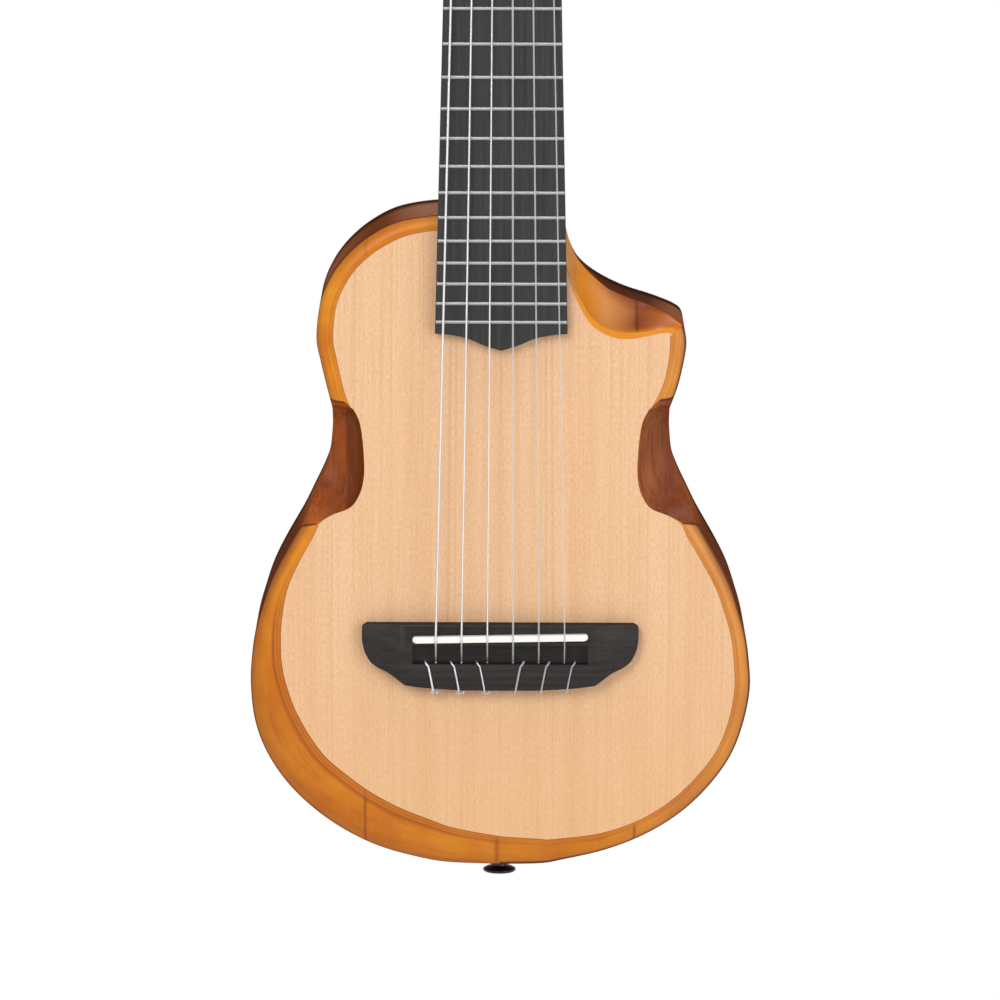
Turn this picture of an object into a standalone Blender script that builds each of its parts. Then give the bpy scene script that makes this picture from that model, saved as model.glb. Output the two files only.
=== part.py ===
"""Guitalele: a six-string nylon guitar of ukulele size, with a carved edge, an arm bevel and a cutaway.

Metres, +Z up along the neck. The soundboard's face is the plane y = 0 and looks along -Y. +X is the treble
side. The origin is on the centre line, at the nut, in the plane where the fretboard is glued to the neck.
"""
import math

import bmesh
import bpy
import numpy
from mathutils import Matrix, Vector

# Strings and frets
SCALE_LENGTH = 0.433
FRET_COUNT = 19
JOINT_FRET = 14
FRET_HEIGHT = 0.0010
FRET_WIDTH = 0.0020
NUT_WIDTH = 0.0480
NUT_THICKNESS = 0.005
NUT_HEIGHT = 0.0092
NUT_SPREAD = 0.0410
SADDLE_SPREAD = 0.0595
STRING_DIAMETERS = (0.0007, 0.0008, 0.00095, 0.0008, 0.00095, 0.0011)

# Clearances
GLUE = 0.0002
CLEAR = 0.0003
CUT_PAST = 0.0100
CHAMFER = 0.0006

# Fretboard
BOARD_THICKNESS = 0.0060
BOARD_END_WIDTH = 0.0610
BOARD_PAST_LAST_FRET = 0.0050
BOARD_POINT = 0.0082

# Body outline: half widths, and distances down from the neck joint
UPPER_HALF = 0.0854
WAIST_HALF = 0.0780
LOWER_HALF = 0.1160
UPPER_DOWN = 0.0580
WAIST_DOWN = 0.1030
LOWER_DOWN = 0.2220
BODY_LENGTH = 0.3060
CUTAWAY_INNER = 0.0296
HORN_DOWN = 0.0600
OUTLINE_STEPS = 1
BODY_DEPTH_NECK = 0.0660
BODY_DEPTH_TAIL = 0.0720

# Carved edge
EDGE_WIDTH = 0.0070
EDGE_LIP = 0.0015
EDGE_DEPTH = 0.0055
ARM_BEVEL_WIDTH = 0.0248
ARM_BEVEL_LIP = 0.0035
ARM_BEVEL_DEPTH = 0.0160
SCOOP_WIDTH = 0.0172
SCOOP_DEPTH = 0.0250
CUTAWAY_WIDTH = 0.0158
CUTAWAY_LIP = 0.0026
CUTAWAY_DEPTH = 0.0240
EDGE_BELOW_BEVEL = 0.0015

# Body walls
TOP_THICKNESS = 0.0026
BACK_THICKNESS = 0.0030
BACK_ROUND = 0.0014
SIDE_THICKNESS = 0.0024
LINING_WIDTH = 0.0050
LINING_DEPTH = 0.0085
HEAD_BLOCK_THICKNESS = 0.0300
TAIL_BLOCK_THICKNESS = 0.0320
BLOCK_HALF_WIDTH = 0.0225
PORT_HALF_LENGTH = 0.0210
PORT_HALF_DEPTH = 0.0120
PORT_DOWN = 0.0560
PORT_Y = 0.0320

# Bracing
BRACE_WIDTH = 0.0070
BRACE_HEIGHT = 0.0110
UPPER_BRACE_DOWN = 0.0660
LOWER_BRACE_DOWN = 0.1620
BRIDGE_PLATE_INSET = 0.0030
BRIDGE_PLATE_THICKNESS = 0.0020
FAN_HALF_WIDTH = 0.0025
FAN_HEIGHT = 0.0050
FAN_LENGTH = 0.0300
FAN_CLEARANCE = 0.0020
FAN_X = 0.0240
FAN_ANGLE = math.radians(12.0)

# Neck and heel
NECK_DEPTH_NUT = 0.0135
NECK_DEPTH_HEEL = 0.0155
NECK_SIDES = 12
NECK_ROUNDNESS = 2.2
HEEL_SWEEP = 0.0400
HEEL_CAP_HALF_WIDTH = 0.0100
HEEL_CAP_LENGTH = 0.0160
HEEL_CAP_THICKNESS = 0.0030
ROD_WIDTH = 0.0060
ROD_DEPTH = 0.0085
ROD_FROM_JOINT = 0.0125
ROD_FROM_NUT = 0.0065

# Headstock
HEAD_TILT = math.radians(12.0)
HEAD_THICKNESS = 0.0140
HEAD_LENGTH = 0.1410
HEAD_HALF = 0.0320
HEAD_TOP_HALF = 0.0295
HEAD_SQUARENESS = 9.0
HEAD_ROOT_SQUARENESS = 3.2
HEAD_ROOT_BELOW_NUT = 0.0010
VENEER_THICKNESS = 0.0016

# Tuners
POST_FIRST = 0.0360
POST_SPACING = 0.0310
POST_X = 0.0210
POST_RADIUS = 0.0030
POST_TOP = 0.0132
FERRULE_RADIUS = 0.0040
FERRULE_FLANGE = 0.0058
FERRULE_FLANGE_THICKNESS = 0.0010
FERRULE_DEPTH = 0.0070
PLATE_THICKNESS = 0.0012
PLATE_HALF_WIDTH = 0.0078
PLATE_OVERHANG = 0.0120
GEAR_TEETH = 14
GEAR_RADIUS = 0.0060
GEAR_ROOT = 0.0048
GEAR_THICKNESS = 0.0030
GEAR_STANDOFF = 0.0015
WORM_RADIUS = 0.0026
WORM_ROOT = 0.0017
WORM_LENGTH = 0.0080
MESH_DEPTH = 0.0004
SHAFT_RADIUS = 0.0014
LUG_THICKNESS = 0.0012
LUG_HALF_WIDTH = 0.0032
KNOB_SIDES = 10
BUTTON_GAP = 0.0040
BUTTON_LENGTH = 0.0130
BUTTON_HALF_WIDTH = 0.0088
BUTTON_HALF_THICKNESS = 0.0036
WINDING_TURNS = 2.0
WINDING_STEPS = 12
CLIMB_STEPS = 6
WINDING_GAP = 0.00080
WINDING_START = 0.0032
SAME_STRETCH = 0.0050
GAP_SAMPLE = 0.0005

# Bridge and saddle
BRIDGE_HALF = 0.0640
BRIDGE_HEIGHT = 0.0085
BRIDGE_ABOVE_SADDLE = 0.0072
BRIDGE_TAIL = 0.0250
BRIDGE_WING_HEIGHT = 0.0055
TIE_HALF = 0.0435
RECESS_DEPTH = 0.0055
TIE_BLOCK_FROM_SADDLE = 0.0115
TIE_HOLE_HEIGHT = 0.0046
TIE_SLANT = 0.0046
SADDLE_LENGTH = 0.0812
SADDLE_THICKNESS = 0.0029
SADDLE_HEIGHT = 0.0119
SADDLE_SETBACK = 0.0025
SADDLE_SLANT = math.radians(1.0)
SADDLE_SLOT_DEPTH = 0.0050

# End pin
PIN_Y = 0.0340
PIN_SHAFT_RADIUS = 0.0040
PIN_HEAD_RADIUS = 0.0074
PIN_LENGTH = 0.0086
PIN_SHAFT_LENGTH = 0.0220

JOINT_Z = -SCALE_LENGTH * (1.0 - 2.0 ** (-JOINT_FRET / 12.0))
TAIL_Z = JOINT_Z - BODY_LENGTH
SADDLE_Z = -SCALE_LENGTH - SADDLE_SETBACK
BACK_SLOPE = (BODY_DEPTH_TAIL - BODY_DEPTH_NECK) / BODY_LENGTH
BOARD_TOP = -(GLUE + BOARD_THICKNESS)
LAST_FRET_Z = -SCALE_LENGTH * (1.0 - 2.0 ** (-FRET_COUNT / 12.0))
BOARD_END_Z = LAST_FRET_Z - BOARD_PAST_LAST_FRET
HEAD_BACK = HEAD_THICKNESS
VENEER_FACE = GLUE + VENEER_THICKNESS
PLATE_BACK = HEAD_BACK + GLUE + PLATE_THICKNESS
GEAR_FRONT = PLATE_BACK + GEAR_STANDOFF
GEAR_MIDDLE = GEAR_FRONT + GEAR_THICKNESS / 2.0
WORM_DISTANCE = GEAR_RADIUS + WORM_RADIUS - MESH_DEPTH
WORM_PITCH = 2.0 * math.pi * (GEAR_RADIUS - MESH_DEPTH / 2.0) / GEAR_TEETH


# Scene, materials and mesh helpers

for old in list(bpy.data.objects):
    bpy.data.objects.remove(old, do_unlink=True)

parts = bpy.data.collections.new("guitalele")
cutters = bpy.data.collections.new("guitalele_cutters")
bpy.context.scene.collection.children.link(parts)
bpy.context.scene.collection.children.link(cutters)

COLOURS = {
    "spruce": ((0.80, 0.54, 0.32), 0.45, 0.0),
    "edge_wood": ((0.66, 0.27, 0.05), 0.25, 0.0),
    "scoop_wood": ((0.19, 0.055, 0.025), 0.30, 0.0),
    "side_wood": ((0.24, 0.10, 0.045), 0.30, 0.0),
    "inner_wood": ((0.62, 0.42, 0.24), 0.70, 0.0),
    "neck_wood": ((0.30, 0.13, 0.06), 0.35, 0.0),
    "dark_wood": ((0.055, 0.052, 0.050), 0.45, 0.0),
    "bone": ((0.92, 0.90, 0.85), 0.30, 0.0),
    "nylon": ((0.80, 0.80, 0.78), 0.25, 0.0),
    "wound_string": ((0.75, 0.75, 0.74), 0.30, 1.0),
    "black_metal": ((0.03, 0.03, 0.032), 0.30, 1.0),
    "steel": ((0.55, 0.55, 0.56), 0.30, 1.0),
}


def make_material(name):
    colour, roughness, metallic = COLOURS[name]
    material = bpy.data.materials.new(name)
    material.use_nodes = True
    shader = material.node_tree.nodes["Principled BSDF"]
    shader.inputs["Base Color"].default_value = (*colour, 1.0)
    shader.inputs["Roughness"].default_value = roughness
    shader.inputs["Metallic"].default_value = metallic
    return material


materials = {name: make_material(name) for name in COLOURS}


def mesh_object(name, mesh, material=None, collection=parts):
    """Link a mesh as an object with its material, round faces smooth."""
    item = bpy.data.objects.new(name, mesh)
    collection.objects.link(item)
    if material:
        mesh.materials.append(materials[material])
        mesh.shade_smooth()
        mesh.set_sharp_from_angle(angle=math.radians(35.0))
    else:
        item.hide_render = True
        item.display_type = "WIRE"
    return item


def to_mesh(bm, name):
    """Close a bmesh into mesh data with its faces pointing out."""
    bmesh.ops.recalc_face_normals(bm, faces=bm.faces)
    mesh = bpy.data.meshes.new(name)
    bm.to_mesh(mesh)
    bm.free()
    return mesh


def loft(name, rings, material=None, collection=parts):
    """Skin a solid through matched closed rings of points, and cap both ends."""
    bm = bmesh.new()
    rows = [[bm.verts.new(point) for point in ring] for ring in rings]
    count = len(rows[0])
    for lower, upper in zip(rows, rows[1:]):
        for i in range(count):
            j = (i + 1) % count
            bm.faces.new((lower[i], lower[j], upper[j], upper[i]))
    bm.faces.new(rows[0])
    bm.faces.new(rows[-1])
    return mesh_object(name, to_mesh(bm, name), material, collection)


def box(name, low, high, material=None, collection=parts):
    """A block between two corners."""
    bm = bmesh.new()
    bmesh.ops.create_cube(bm, size=1.0)
    low, high = Vector(low), Vector(high)
    size = high - low
    bmesh.ops.scale(bm, vec=size, verts=bm.verts)
    bmesh.ops.translate(bm, vec=(low + high) / 2.0, verts=bm.verts)
    return mesh_object(name, to_mesh(bm, name), material, collection)


def rod(name, start, end, radius, sides=12, material=None, collection=parts):
    """A round bar between two points."""
    start, end = Vector(start), Vector(end)
    bm = bmesh.new()
    bmesh.ops.create_cone(
        bm, cap_ends=True, segments=sides, radius1=radius, radius2=radius, depth=(end - start).length
    )
    turn = Vector((0.0, 0.0, 1.0)).rotation_difference(end - start).to_matrix().to_4x4()
    bmesh.ops.transform(bm, matrix=Matrix.Translation((start + end) / 2.0) @ turn, verts=bm.verts)
    return mesh_object(name, to_mesh(bm, name), material, collection)


def turned(name, profile, material, sides=14):
    """A solid of revolution about local Z: a profile of (radius, z), top to bottom, and a Screw modifier."""
    mesh = bpy.data.meshes.new(name)
    points = [(0.0, 0.0, profile[0][1])] + [(r, 0.0, z) for r, z in profile] + [(0.0, 0.0, profile[-1][1])]
    mesh.from_pydata(points, [(i, i + 1) for i in range(len(points) - 1)], [])
    item = mesh_object(name, mesh, material)
    spin = item.modifiers.new("turn", "SCREW")
    spin.steps = sides
    spin.render_steps = sides
    spin.use_merge_vertices = True
    spin.merge_threshold = 0.00001
    return item


def flat_piece(name, outline, thickness, material=None, collection=parts):
    """A flat plate: a filled 2D curve, extruded half its thickness each way, made a mesh."""
    curve = bpy.data.curves.new(name, "CURVE")
    curve.dimensions = "2D"
    curve.fill_mode = "BOTH"
    curve.extrude = thickness / 2.0
    spline = curve.splines.new("POLY")
    spline.points.add(len(outline) - 1)
    for point, (x, y) in zip(spline.points, outline):
        point.co = (x, y, 0.0, 1.0)
    spline.use_cyclic_u = True
    return curve_to_mesh(name, curve, material, collection)


def curve_to_mesh(name, curve, material, collection):
    """Turn curve data into a mesh object with its caps welded."""
    holder = bpy.data.objects.new(name + "_curve", curve)
    parts.objects.link(holder)
    bpy.context.view_layer.update()
    evaluated = holder.evaluated_get(bpy.context.evaluated_depsgraph_get())
    bm = bmesh.new()
    bm.from_mesh(bpy.data.meshes.new_from_object(evaluated))
    bmesh.ops.remove_doubles(bm, verts=bm.verts, dist=0.000002)
    bmesh.ops.dissolve_limit(bm, angle_limit=0.01, verts=bm.verts, edges=bm.edges)
    bpy.data.objects.remove(holder, do_unlink=True)
    return mesh_object(name, to_mesh(bm, name), material, collection)


def combine(item, tool, operation="DIFFERENCE"):
    """Cut a tool from an object, or join it on, with an exact boolean that stays on the object."""
    change = item.modifiers.new(operation.lower(), "BOOLEAN")
    change.operation = operation
    change.solver = "EXACT"
    change.object = tool


def settle(item):
    """Apply an object's modifiers, so that copies can share its mesh."""
    bpy.context.view_layer.update()
    evaluated = item.evaluated_get(bpy.context.evaluated_depsgraph_get())
    mesh = bpy.data.meshes.new_from_object(evaluated)
    item.modifiers.clear()
    item.data = mesh
    return mesh


def soften(item, width, segments=1, angle=35.0):
    """Round an object's sharp edges."""
    edge = item.modifiers.new("soften", "BEVEL")
    edge.width = width
    edge.segments = segments
    edge.limit_method = "ANGLE"
    edge.angle_limit = math.radians(angle)


def spline_rows(rows, steps):
    """Read a smooth curve through rows of numbers: Catmull-Rom, with steps spans to a row."""
    result = []
    last = len(rows) - 1
    for i in range(last):
        before = rows[max(i - 1, 0)]
        after = rows[min(i + 2, last)]
        for k in range(steps):
            t = k / steps
            result.append([
                0.5 * (2.0 * b + (c - a) * t + (2.0 * a - 5.0 * b + 4.0 * c - d) * t * t
                       + (3.0 * b - a - 3.0 * c + d) * t ** 3)
                for a, b, c, d in zip(before, rows[i], rows[i + 1], after)
            ])
    result.append(list(rows[last]))
    return result


# The body's outline
#
# A row is: half width, distance down from the joint, then the carved edge at that place: its width in from
# the outline, its lip (flat part beside the soundboard), its depth at the outline, and its hollow, which is
# 0 for a rounded edge and 1 for a scoop. The functions take shares of the sizes at the top.

def rim(width, lip, depth):
    """The rounded edge of most of the body."""
    return (EDGE_WIDTH * width, EDGE_LIP * lip, EDGE_DEPTH * depth, 0.0)


def arm_bevel(width, lip, depth):
    """The wide bevel under the player's arm."""
    return (ARM_BEVEL_WIDTH * width, ARM_BEVEL_LIP * lip, ARM_BEVEL_DEPTH * depth, 0.0)


def scoop(width, lip, depth, hollow):
    """The hollow at the waist."""
    return (SCOOP_WIDTH * width, EDGE_LIP * lip, SCOOP_DEPTH * depth, hollow)


def hollow_cut(width, lip, depth, hollow):
    """The hollow round the cutaway."""
    return (CUTAWAY_WIDTH * width, CUTAWAY_LIP * lip, CUTAWAY_DEPTH * depth, hollow)


def neck_side(across, down, *edge):
    """A row between the centre line and the cutaway."""
    return (CUTAWAY_INNER * across, HORN_DOWN * down, *edge)


def cutaway(across, down, *edge):
    """A row of the cutaway, from beside the neck to the horn."""
    return (CUTAWAY_INNER + (UPPER_HALF - CUTAWAY_INNER) * across, HORN_DOWN * down, *edge)


def upper(across, down, *edge):
    """A row of the upper bout, in shares of its half width and depth."""
    return (UPPER_HALF * across, UPPER_DOWN * down, *edge)


def to_waist(across, down, *edge):
    """A row between the upper bout and the waist."""
    x = UPPER_HALF + (WAIST_HALF - UPPER_HALF) * across
    return (x, UPPER_DOWN + (WAIST_DOWN - UPPER_DOWN) * down, *edge)


def to_lower(across, down, *edge):
    """A row between the waist and the lower bout."""
    x = WAIST_HALF + (LOWER_HALF - WAIST_HALF) * across
    return (x, WAIST_DOWN + (LOWER_DOWN - WAIST_DOWN) * down, *edge)


def tail(across, down, *edge):
    """A row of the lower bout, from its widest place to the tail."""
    return (LOWER_HALF * across, LOWER_DOWN + (BODY_LENGTH - LOWER_DOWN) * down, *edge)


SCOOP_ROWS = (
    to_waist(0.98, 0.72, *scoop(0.56, 0.0, 0.48, 0.6)),
    to_waist(1.00, 0.81, *scoop(0.70, 0.0, 0.70, 0.9)),
    to_waist(0.99, 0.95, *scoop(0.80, 0.0, 0.92, 1.0)),
    to_lower(0.024, 0.06, *scoop(0.91, 0.0, 1.0, 1.0)),
    to_lower(0.058, 0.13, *scoop(1.0, 0.0, 1.0, 1.0)),
    to_lower(0.103, 0.172, *scoop(1.03, 0.0, 0.95, 1.0)),
    to_lower(0.165, 0.217, *scoop(0.95, 0.0, 0.84, 1.0)),
    to_lower(0.238, 0.265, *scoop(0.62, 0.0, 0.58, 0.8)),
    to_lower(0.308, 0.312, *scoop(0.40, 0.5, 0.26, 0.2)),
)
BASS_UPPER_ROWS = (
    upper(0.00, 0.000, *rim(0.9, 0.667, 0.273)),
    upper(0.17, 0.000, *rim(0.9, 0.667, 0.273)),
    upper(0.35, 0.006, *rim(0.9, 0.8, 0.636)),
    upper(0.51, 0.040, *rim(0.943, 1.0, 0.909)),
    upper(0.62, 0.095, *rim(1.0, 1.0, 1.0)),
    upper(0.728, 0.190, *rim(1.0, 1.0, 1.0)),
    upper(0.807, 0.287, *rim(1.0, 1.0, 1.0)),
    upper(0.869, 0.388, *rim(1.0, 1.0, 1.0)),
    upper(0.916, 0.491, *rim(1.029, 1.0, 1.0)),
    upper(0.959, 0.625, *rim(1.043, 1.0, 1.0)),
    upper(0.985, 0.77, *rim(1.057, 1.0, 1.0)),
    upper(0.998, 1.000, *rim(1.1, 1.0, 1.0)),
    to_waist(0.27, 0.22, *rim(1.086, 1.0, 1.0)),
    to_waist(0.63, 0.47, *rim(1.057, 1.0, 1.0)),
    to_waist(0.93, 0.66, *rim(1.1, 1.0, 1.0)),
)
BASS_LOWER_ROWS = (
    to_lower(0.385, 0.36, *arm_bevel(0.282, 0.52, 0.35)),
    to_lower(0.605, 0.484, *arm_bevel(0.298, 0.571, 0.375)),
    to_lower(0.750, 0.58, *arm_bevel(0.331, 0.743, 0.438)),
    to_lower(0.853, 0.678, *arm_bevel(0.395, 0.914, 0.531)),
    to_lower(0.937, 0.775, *arm_bevel(0.488, 1.0, 0.625)),
    to_lower(0.985, 0.88, *arm_bevel(0.57, 1.0, 0.719)),
    to_lower(1.00, 1.00, *arm_bevel(0.70, 1.0, 0.812)),
    tail(0.984, 0.20, *arm_bevel(0.847, 1.0, 0.906)),
    tail(0.937, 0.38, *arm_bevel(0.919, 1.0, 0.969)),
    tail(0.857, 0.55, *arm_bevel(0.948, 1.0, 1.0)),
    tail(0.748, 0.70, *arm_bevel(0.984, 1.0, 1.0)),
    tail(0.623, 0.82, *arm_bevel(0.972, 1.0, 0.969)),
    tail(0.484, 0.91, *arm_bevel(0.935, 0.971, 0.906)),
    tail(0.320, 0.97, *arm_bevel(0.847, 0.914, 0.812)),
    tail(0.197, 0.993, *arm_bevel(0.75, 0.829, 0.719)),
    tail(0.000, 1.00, *arm_bevel(0.605, 0.743, 0.656)),
)
TREBLE_LOWER_ROWS = (
    to_lower(0.385, 0.36, *rim(1.0, 1.0, 1.0)),
    to_lower(0.605, 0.484, *rim(0.971, 1.0, 1.0)),
    to_lower(0.750, 0.58, *rim(0.943, 1.0, 1.0)),
    to_lower(0.853, 0.678, *rim(0.929, 1.0, 1.0)),
    to_lower(0.937, 0.775, *rim(0.943, 1.0, 1.0)),
    to_lower(0.985, 0.88, *rim(0.986, 1.0, 1.0)),
    to_lower(1.00, 1.00, *rim(1.029, 1.0, 1.0)),
    tail(0.972, 0.20, *rim(1.014, 1.0, 1.0)),
    tail(0.921, 0.38, *rim(1.043, 1.0, 1.0)),
    tail(0.833, 0.55, *rim(1.1, 1.0, 1.0)),
    tail(0.720, 0.70, *rim(1.129, 1.067, 1.091)),
    tail(0.582, 0.82, *rim(1.171, 1.2, 1.182)),
    tail(0.423, 0.91, *rim(1.343, 1.333, 1.364)),
    tail(0.249, 0.97, *rim(1.671, 1.467, 1.545)),
    tail(0.162, 0.993, *rim(1.914, 1.6, 1.727)),
    tail(0.000, 1.00, *rim(2.143, 1.733, 1.909)),
)
HORN_ROWS = (
    cutaway(0.990, 0.908, *rim(1.0, 1.0, 1.0)),
    cutaway(1.000, 1.0, *rim(1.071, 1.0, 1.0)),
    to_waist(0.15, 0.22, *rim(1.014, 1.0, 1.0)),
    to_waist(0.50, 0.47, *rim(0.986, 1.0, 1.0)),
    to_waist(0.91, 0.66, *rim(1.071, 1.0, 1.0)),
)
CUTAWAY_ROWS = (
    neck_side(0.0, 0.0, *rim(0.857, 0.667, 0.273)),
    neck_side(0.507, 0.0, *rim(0.857, 0.667, 0.273)),
    neck_side(0.845, 0.0, *rim(0.786, 0.667, 0.273)),
    cutaway(-0.012, 0.075, *rim(0.6, 0.667, 0.273)),
    cutaway(0.003, 0.192, *rim(0.6, 0.667, 0.727)),
    cutaway(0.029, 0.3, *hollow_cut(0.266, 0.385, 0.333, 0.2)),
    cutaway(0.070, 0.392, *hollow_cut(0.24, 0.308, 0.583, 0.5)),
    cutaway(0.122, 0.462, *hollow_cut(0.386, 0.308, 0.833, 0.9)),
    cutaway(0.214, 0.537, *hollow_cut(0.645, 0.692, 0.958, 1.0)),
    cutaway(0.351, 0.614, *hollow_cut(0.985, 0.923, 1.0, 1.0)),
    cutaway(0.513, 0.681, *hollow_cut(1.038, 1.0, 1.0, 1.0)),
    cutaway(0.699, 0.736, *hollow_cut(0.785, 0.923, 0.917, 0.9)),
    cutaway(0.842, 0.785, *hollow_cut(0.468, 0.692, 0.583, 0.5)),
    cutaway(0.921, 0.820, *hollow_cut(0.361, 0.577, 0.333, 0.1)),
    cutaway(0.966, 0.853, *hollow_cut(0.399, 0.577, 0.229, 0.0)),
)


class Station:
    """One place on the rim: its outline point, the way in, and the carved edge's sizes there."""

    def __init__(self, row, inward):
        self.x, self.z, self.width, self.lip, self.depth, self.hollow = row
        self.inward = inward

    def at(self, inset, y):
        """The point that lies inset from the outline, at depth y."""
        return Vector((self.x + self.inward[0] * inset, y, self.z + self.inward[1] * inset))

    def back(self):
        """The depth of the back's outer face here."""
        return back_depth(self.z)

    def foot(self):
        """The depth to which the carved edge reaches."""
        return self.depth + EDGE_BELOW_BEVEL


def back_depth(z):
    """The back's outer face, which slopes from the neck to the tail."""
    return BODY_DEPTH_NECK + (JOINT_Z - z) * BACK_SLOPE


def make_stations(sections, side):
    """Smooth stations through the rows of each section; side is -1 for bass and 1 for treble."""
    rows = [row for section in sections for row in section]
    fine = spline_rows(rows, OUTLINE_STEPS)
    placed = []
    for half, down, width, lip, depth, hollow in fine:
        placed.append((side * max(half, GLUE / 2.0), JOINT_Z - down, width, lip, depth, hollow))
    stations = []
    for i, row in enumerate(placed):
        a = placed[max(i - 1, 0)]
        b = placed[min(i + 1, len(placed) - 1)]
        dx, dz = b[0] - a[0], b[1] - a[1]
        if i in (0, len(placed) - 1):
            dz = 0.0
        length = math.hypot(dx, dz)
        inward = (-side * dz / -length, -side * dx / length)
        stations.append(Station(row, inward))
    cuts = [0]
    total = 0
    for section in sections:
        total += len(section)
        cuts.append((total - 1) * OUTLINE_STEPS)
    return stations, cuts


bass, bass_cuts = make_stations((BASS_UPPER_ROWS, SCOOP_ROWS, BASS_LOWER_ROWS), -1)
treble, treble_cuts = make_stations((CUTAWAY_ROWS, HORN_ROWS, SCOOP_ROWS, TREBLE_LOWER_ROWS), 1)


def between(first, second, share):
    """A station part of the way from one to another."""
    row = [a + (b - a) * share for a, b in zip(
        (first.x, first.z, first.width, first.lip, first.depth, first.hollow),
        (second.x, second.z, second.width, second.lip, second.depth, second.hollow),
    )]
    inward = Vector(first.inward).lerp(Vector(second.inward), share).normalized()
    return Station(row, tuple(inward))


def run_of(stations, start, end):
    """The stations of one piece, drawn back at each end by half a glue line."""
    run = list(stations[start:end + 1])
    for i, j in ((0, 1), (-1, -2)):
        if abs(run[i].x) > GLUE:
            gap = math.hypot(run[i].x - run[j].x, run[i].z - run[j].z)
            run[i] = between(run[i], run[j], GLUE / 2.0 / gap)
    return run


def edge_section(station):
    """The carved edge's section: lip, round or hollow bevel, foot and inner wall."""
    width, lip, depth = station.width, station.lip, station.depth
    points = [station.at(width, 0.0), station.at(width - lip, lip * 0.04)]
    start = lip * 0.04
    reach = width - lip
    for k in range(1, 4):
        angle = math.pi / 2.0 * k / 4.0
        round_out, round_down = math.sin(angle), 1.0 - math.cos(angle)
        hollow_out, hollow_down = 1.0 - math.cos(angle), math.sin(angle)
        out = round_out + (hollow_out - round_out) * station.hollow
        down = round_down + (hollow_down - round_down) * station.hollow
        points.append(station.at(reach * (1.0 - out), start + (depth - start) * down))
    points.append(station.at(0.0, depth))
    points.append(station.at(0.0, station.foot()))
    points.append(station.at(width, station.foot()))
    return points


def make_edge(name, stations, start, end, material):
    loft(name, [edge_section(station) for station in run_of(stations, start, end)], material)


def make_side(name, stations):
    """The bent side: from under the carved edge to the back."""
    sections = []
    for station in stations:
        front = station.foot() + GLUE
        outer_back = station.back() - BACK_THICKNESS - GLUE
        inner_back = back_depth(station.at(SIDE_THICKNESS, 0.0).z) - BACK_THICKNESS - GLUE
        sections.append([
            station.at(0.0, front), station.at(0.0, outer_back),
            station.at(SIDE_THICKNESS, inner_back), station.at(SIDE_THICKNESS, front),
        ])
    return loft(name, sections, "side_wood")


def clear_of_blocks(stations, reach_of):
    """The stations where a lining of that reach lies beside the head and tail blocks."""
    return [s for s in stations if abs(s.at(reach_of(s), 0.0).x) > BLOCK_HALF_WIDTH + CLEAR]


def make_top_lining(name, stations):
    sections = []
    near, far = GLUE * 2.0, LINING_WIDTH
    front = TOP_THICKNESS + GLUE
    for station in clear_of_blocks(stations, lambda s: s.width + far):
        sections.append([
            station.at(station.width + near, front), station.at(station.width + near, front + LINING_DEPTH),
            station.at(station.width + far, front + LINING_DEPTH * 0.5), station.at(station.width + far, front),
        ])
    loft(name, sections, "inner_wood")


def make_back_lining(name, stations):
    sections = []
    near, far = SIDE_THICKNESS + GLUE, SIDE_THICKNESS + LINING_WIDTH
    for station in clear_of_blocks(stations, lambda s: far):
        seat_near = back_depth(station.at(near, 0.0).z) - BACK_THICKNESS - GLUE
        seat_far = back_depth(station.at(far, 0.0).z) - BACK_THICKNESS - GLUE
        sections.append([
            station.at(near, seat_near), station.at(near, seat_near - LINING_DEPTH),
            station.at(far, seat_far - LINING_DEPTH * 0.5), station.at(far, seat_far),
        ])
    loft(name, sections, "inner_wood")


def whole_rim():
    """All stations, round the body once, without the doubles at the centre line."""
    return bass[1:-1] + list(reversed(treble[1:-1]))


def ring(inset, depth_of):
    """A closed ring of points round the body."""
    points = []
    for station in whole_rim():
        spot = station.at(inset(station), 0.0)
        points.append(Vector((spot.x, depth_of(spot.z), spot.z)))
    return points


def make_soundboard():
    def inset(station):
        return station.width + GLUE
    loft("soundboard", [ring(inset, lambda z: 0.0), ring(inset, lambda z: TOP_THICKNESS)], "spruce")


def make_back_plate():
    def level(above):
        return lambda z: back_depth(z) - above
    loft("back_plate", [
        ring(lambda s: 0.0, level(BACK_THICKNESS)),
        ring(lambda s: 0.0, level(BACK_ROUND)),
        ring(lambda s: BACK_ROUND * 0.35, level(BACK_ROUND * 0.35)),
        ring(lambda s: BACK_ROUND, level(0.0)),
    ], "side_wood")


def wall_places(stations):
    """Where the side's inner face lies across the end block: x and z, from the centre line out."""
    walls = [station.at(SIDE_THICKNESS + GLUE, 0.0) for station in stations]
    places = [(abs(walls[0].x), walls[0].z)]
    for a, b in zip(walls, walls[1:]):
        if abs(b.x) >= BLOCK_HALF_WIDTH:
            share = (BLOCK_HALF_WIDTH - abs(a.x)) / (abs(b.x) - abs(a.x))
            places.append((BLOCK_HALF_WIDTH, a.z + (b.z - a.z) * share))
            break
        places.append((abs(b.x), b.z))
    return places


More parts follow.
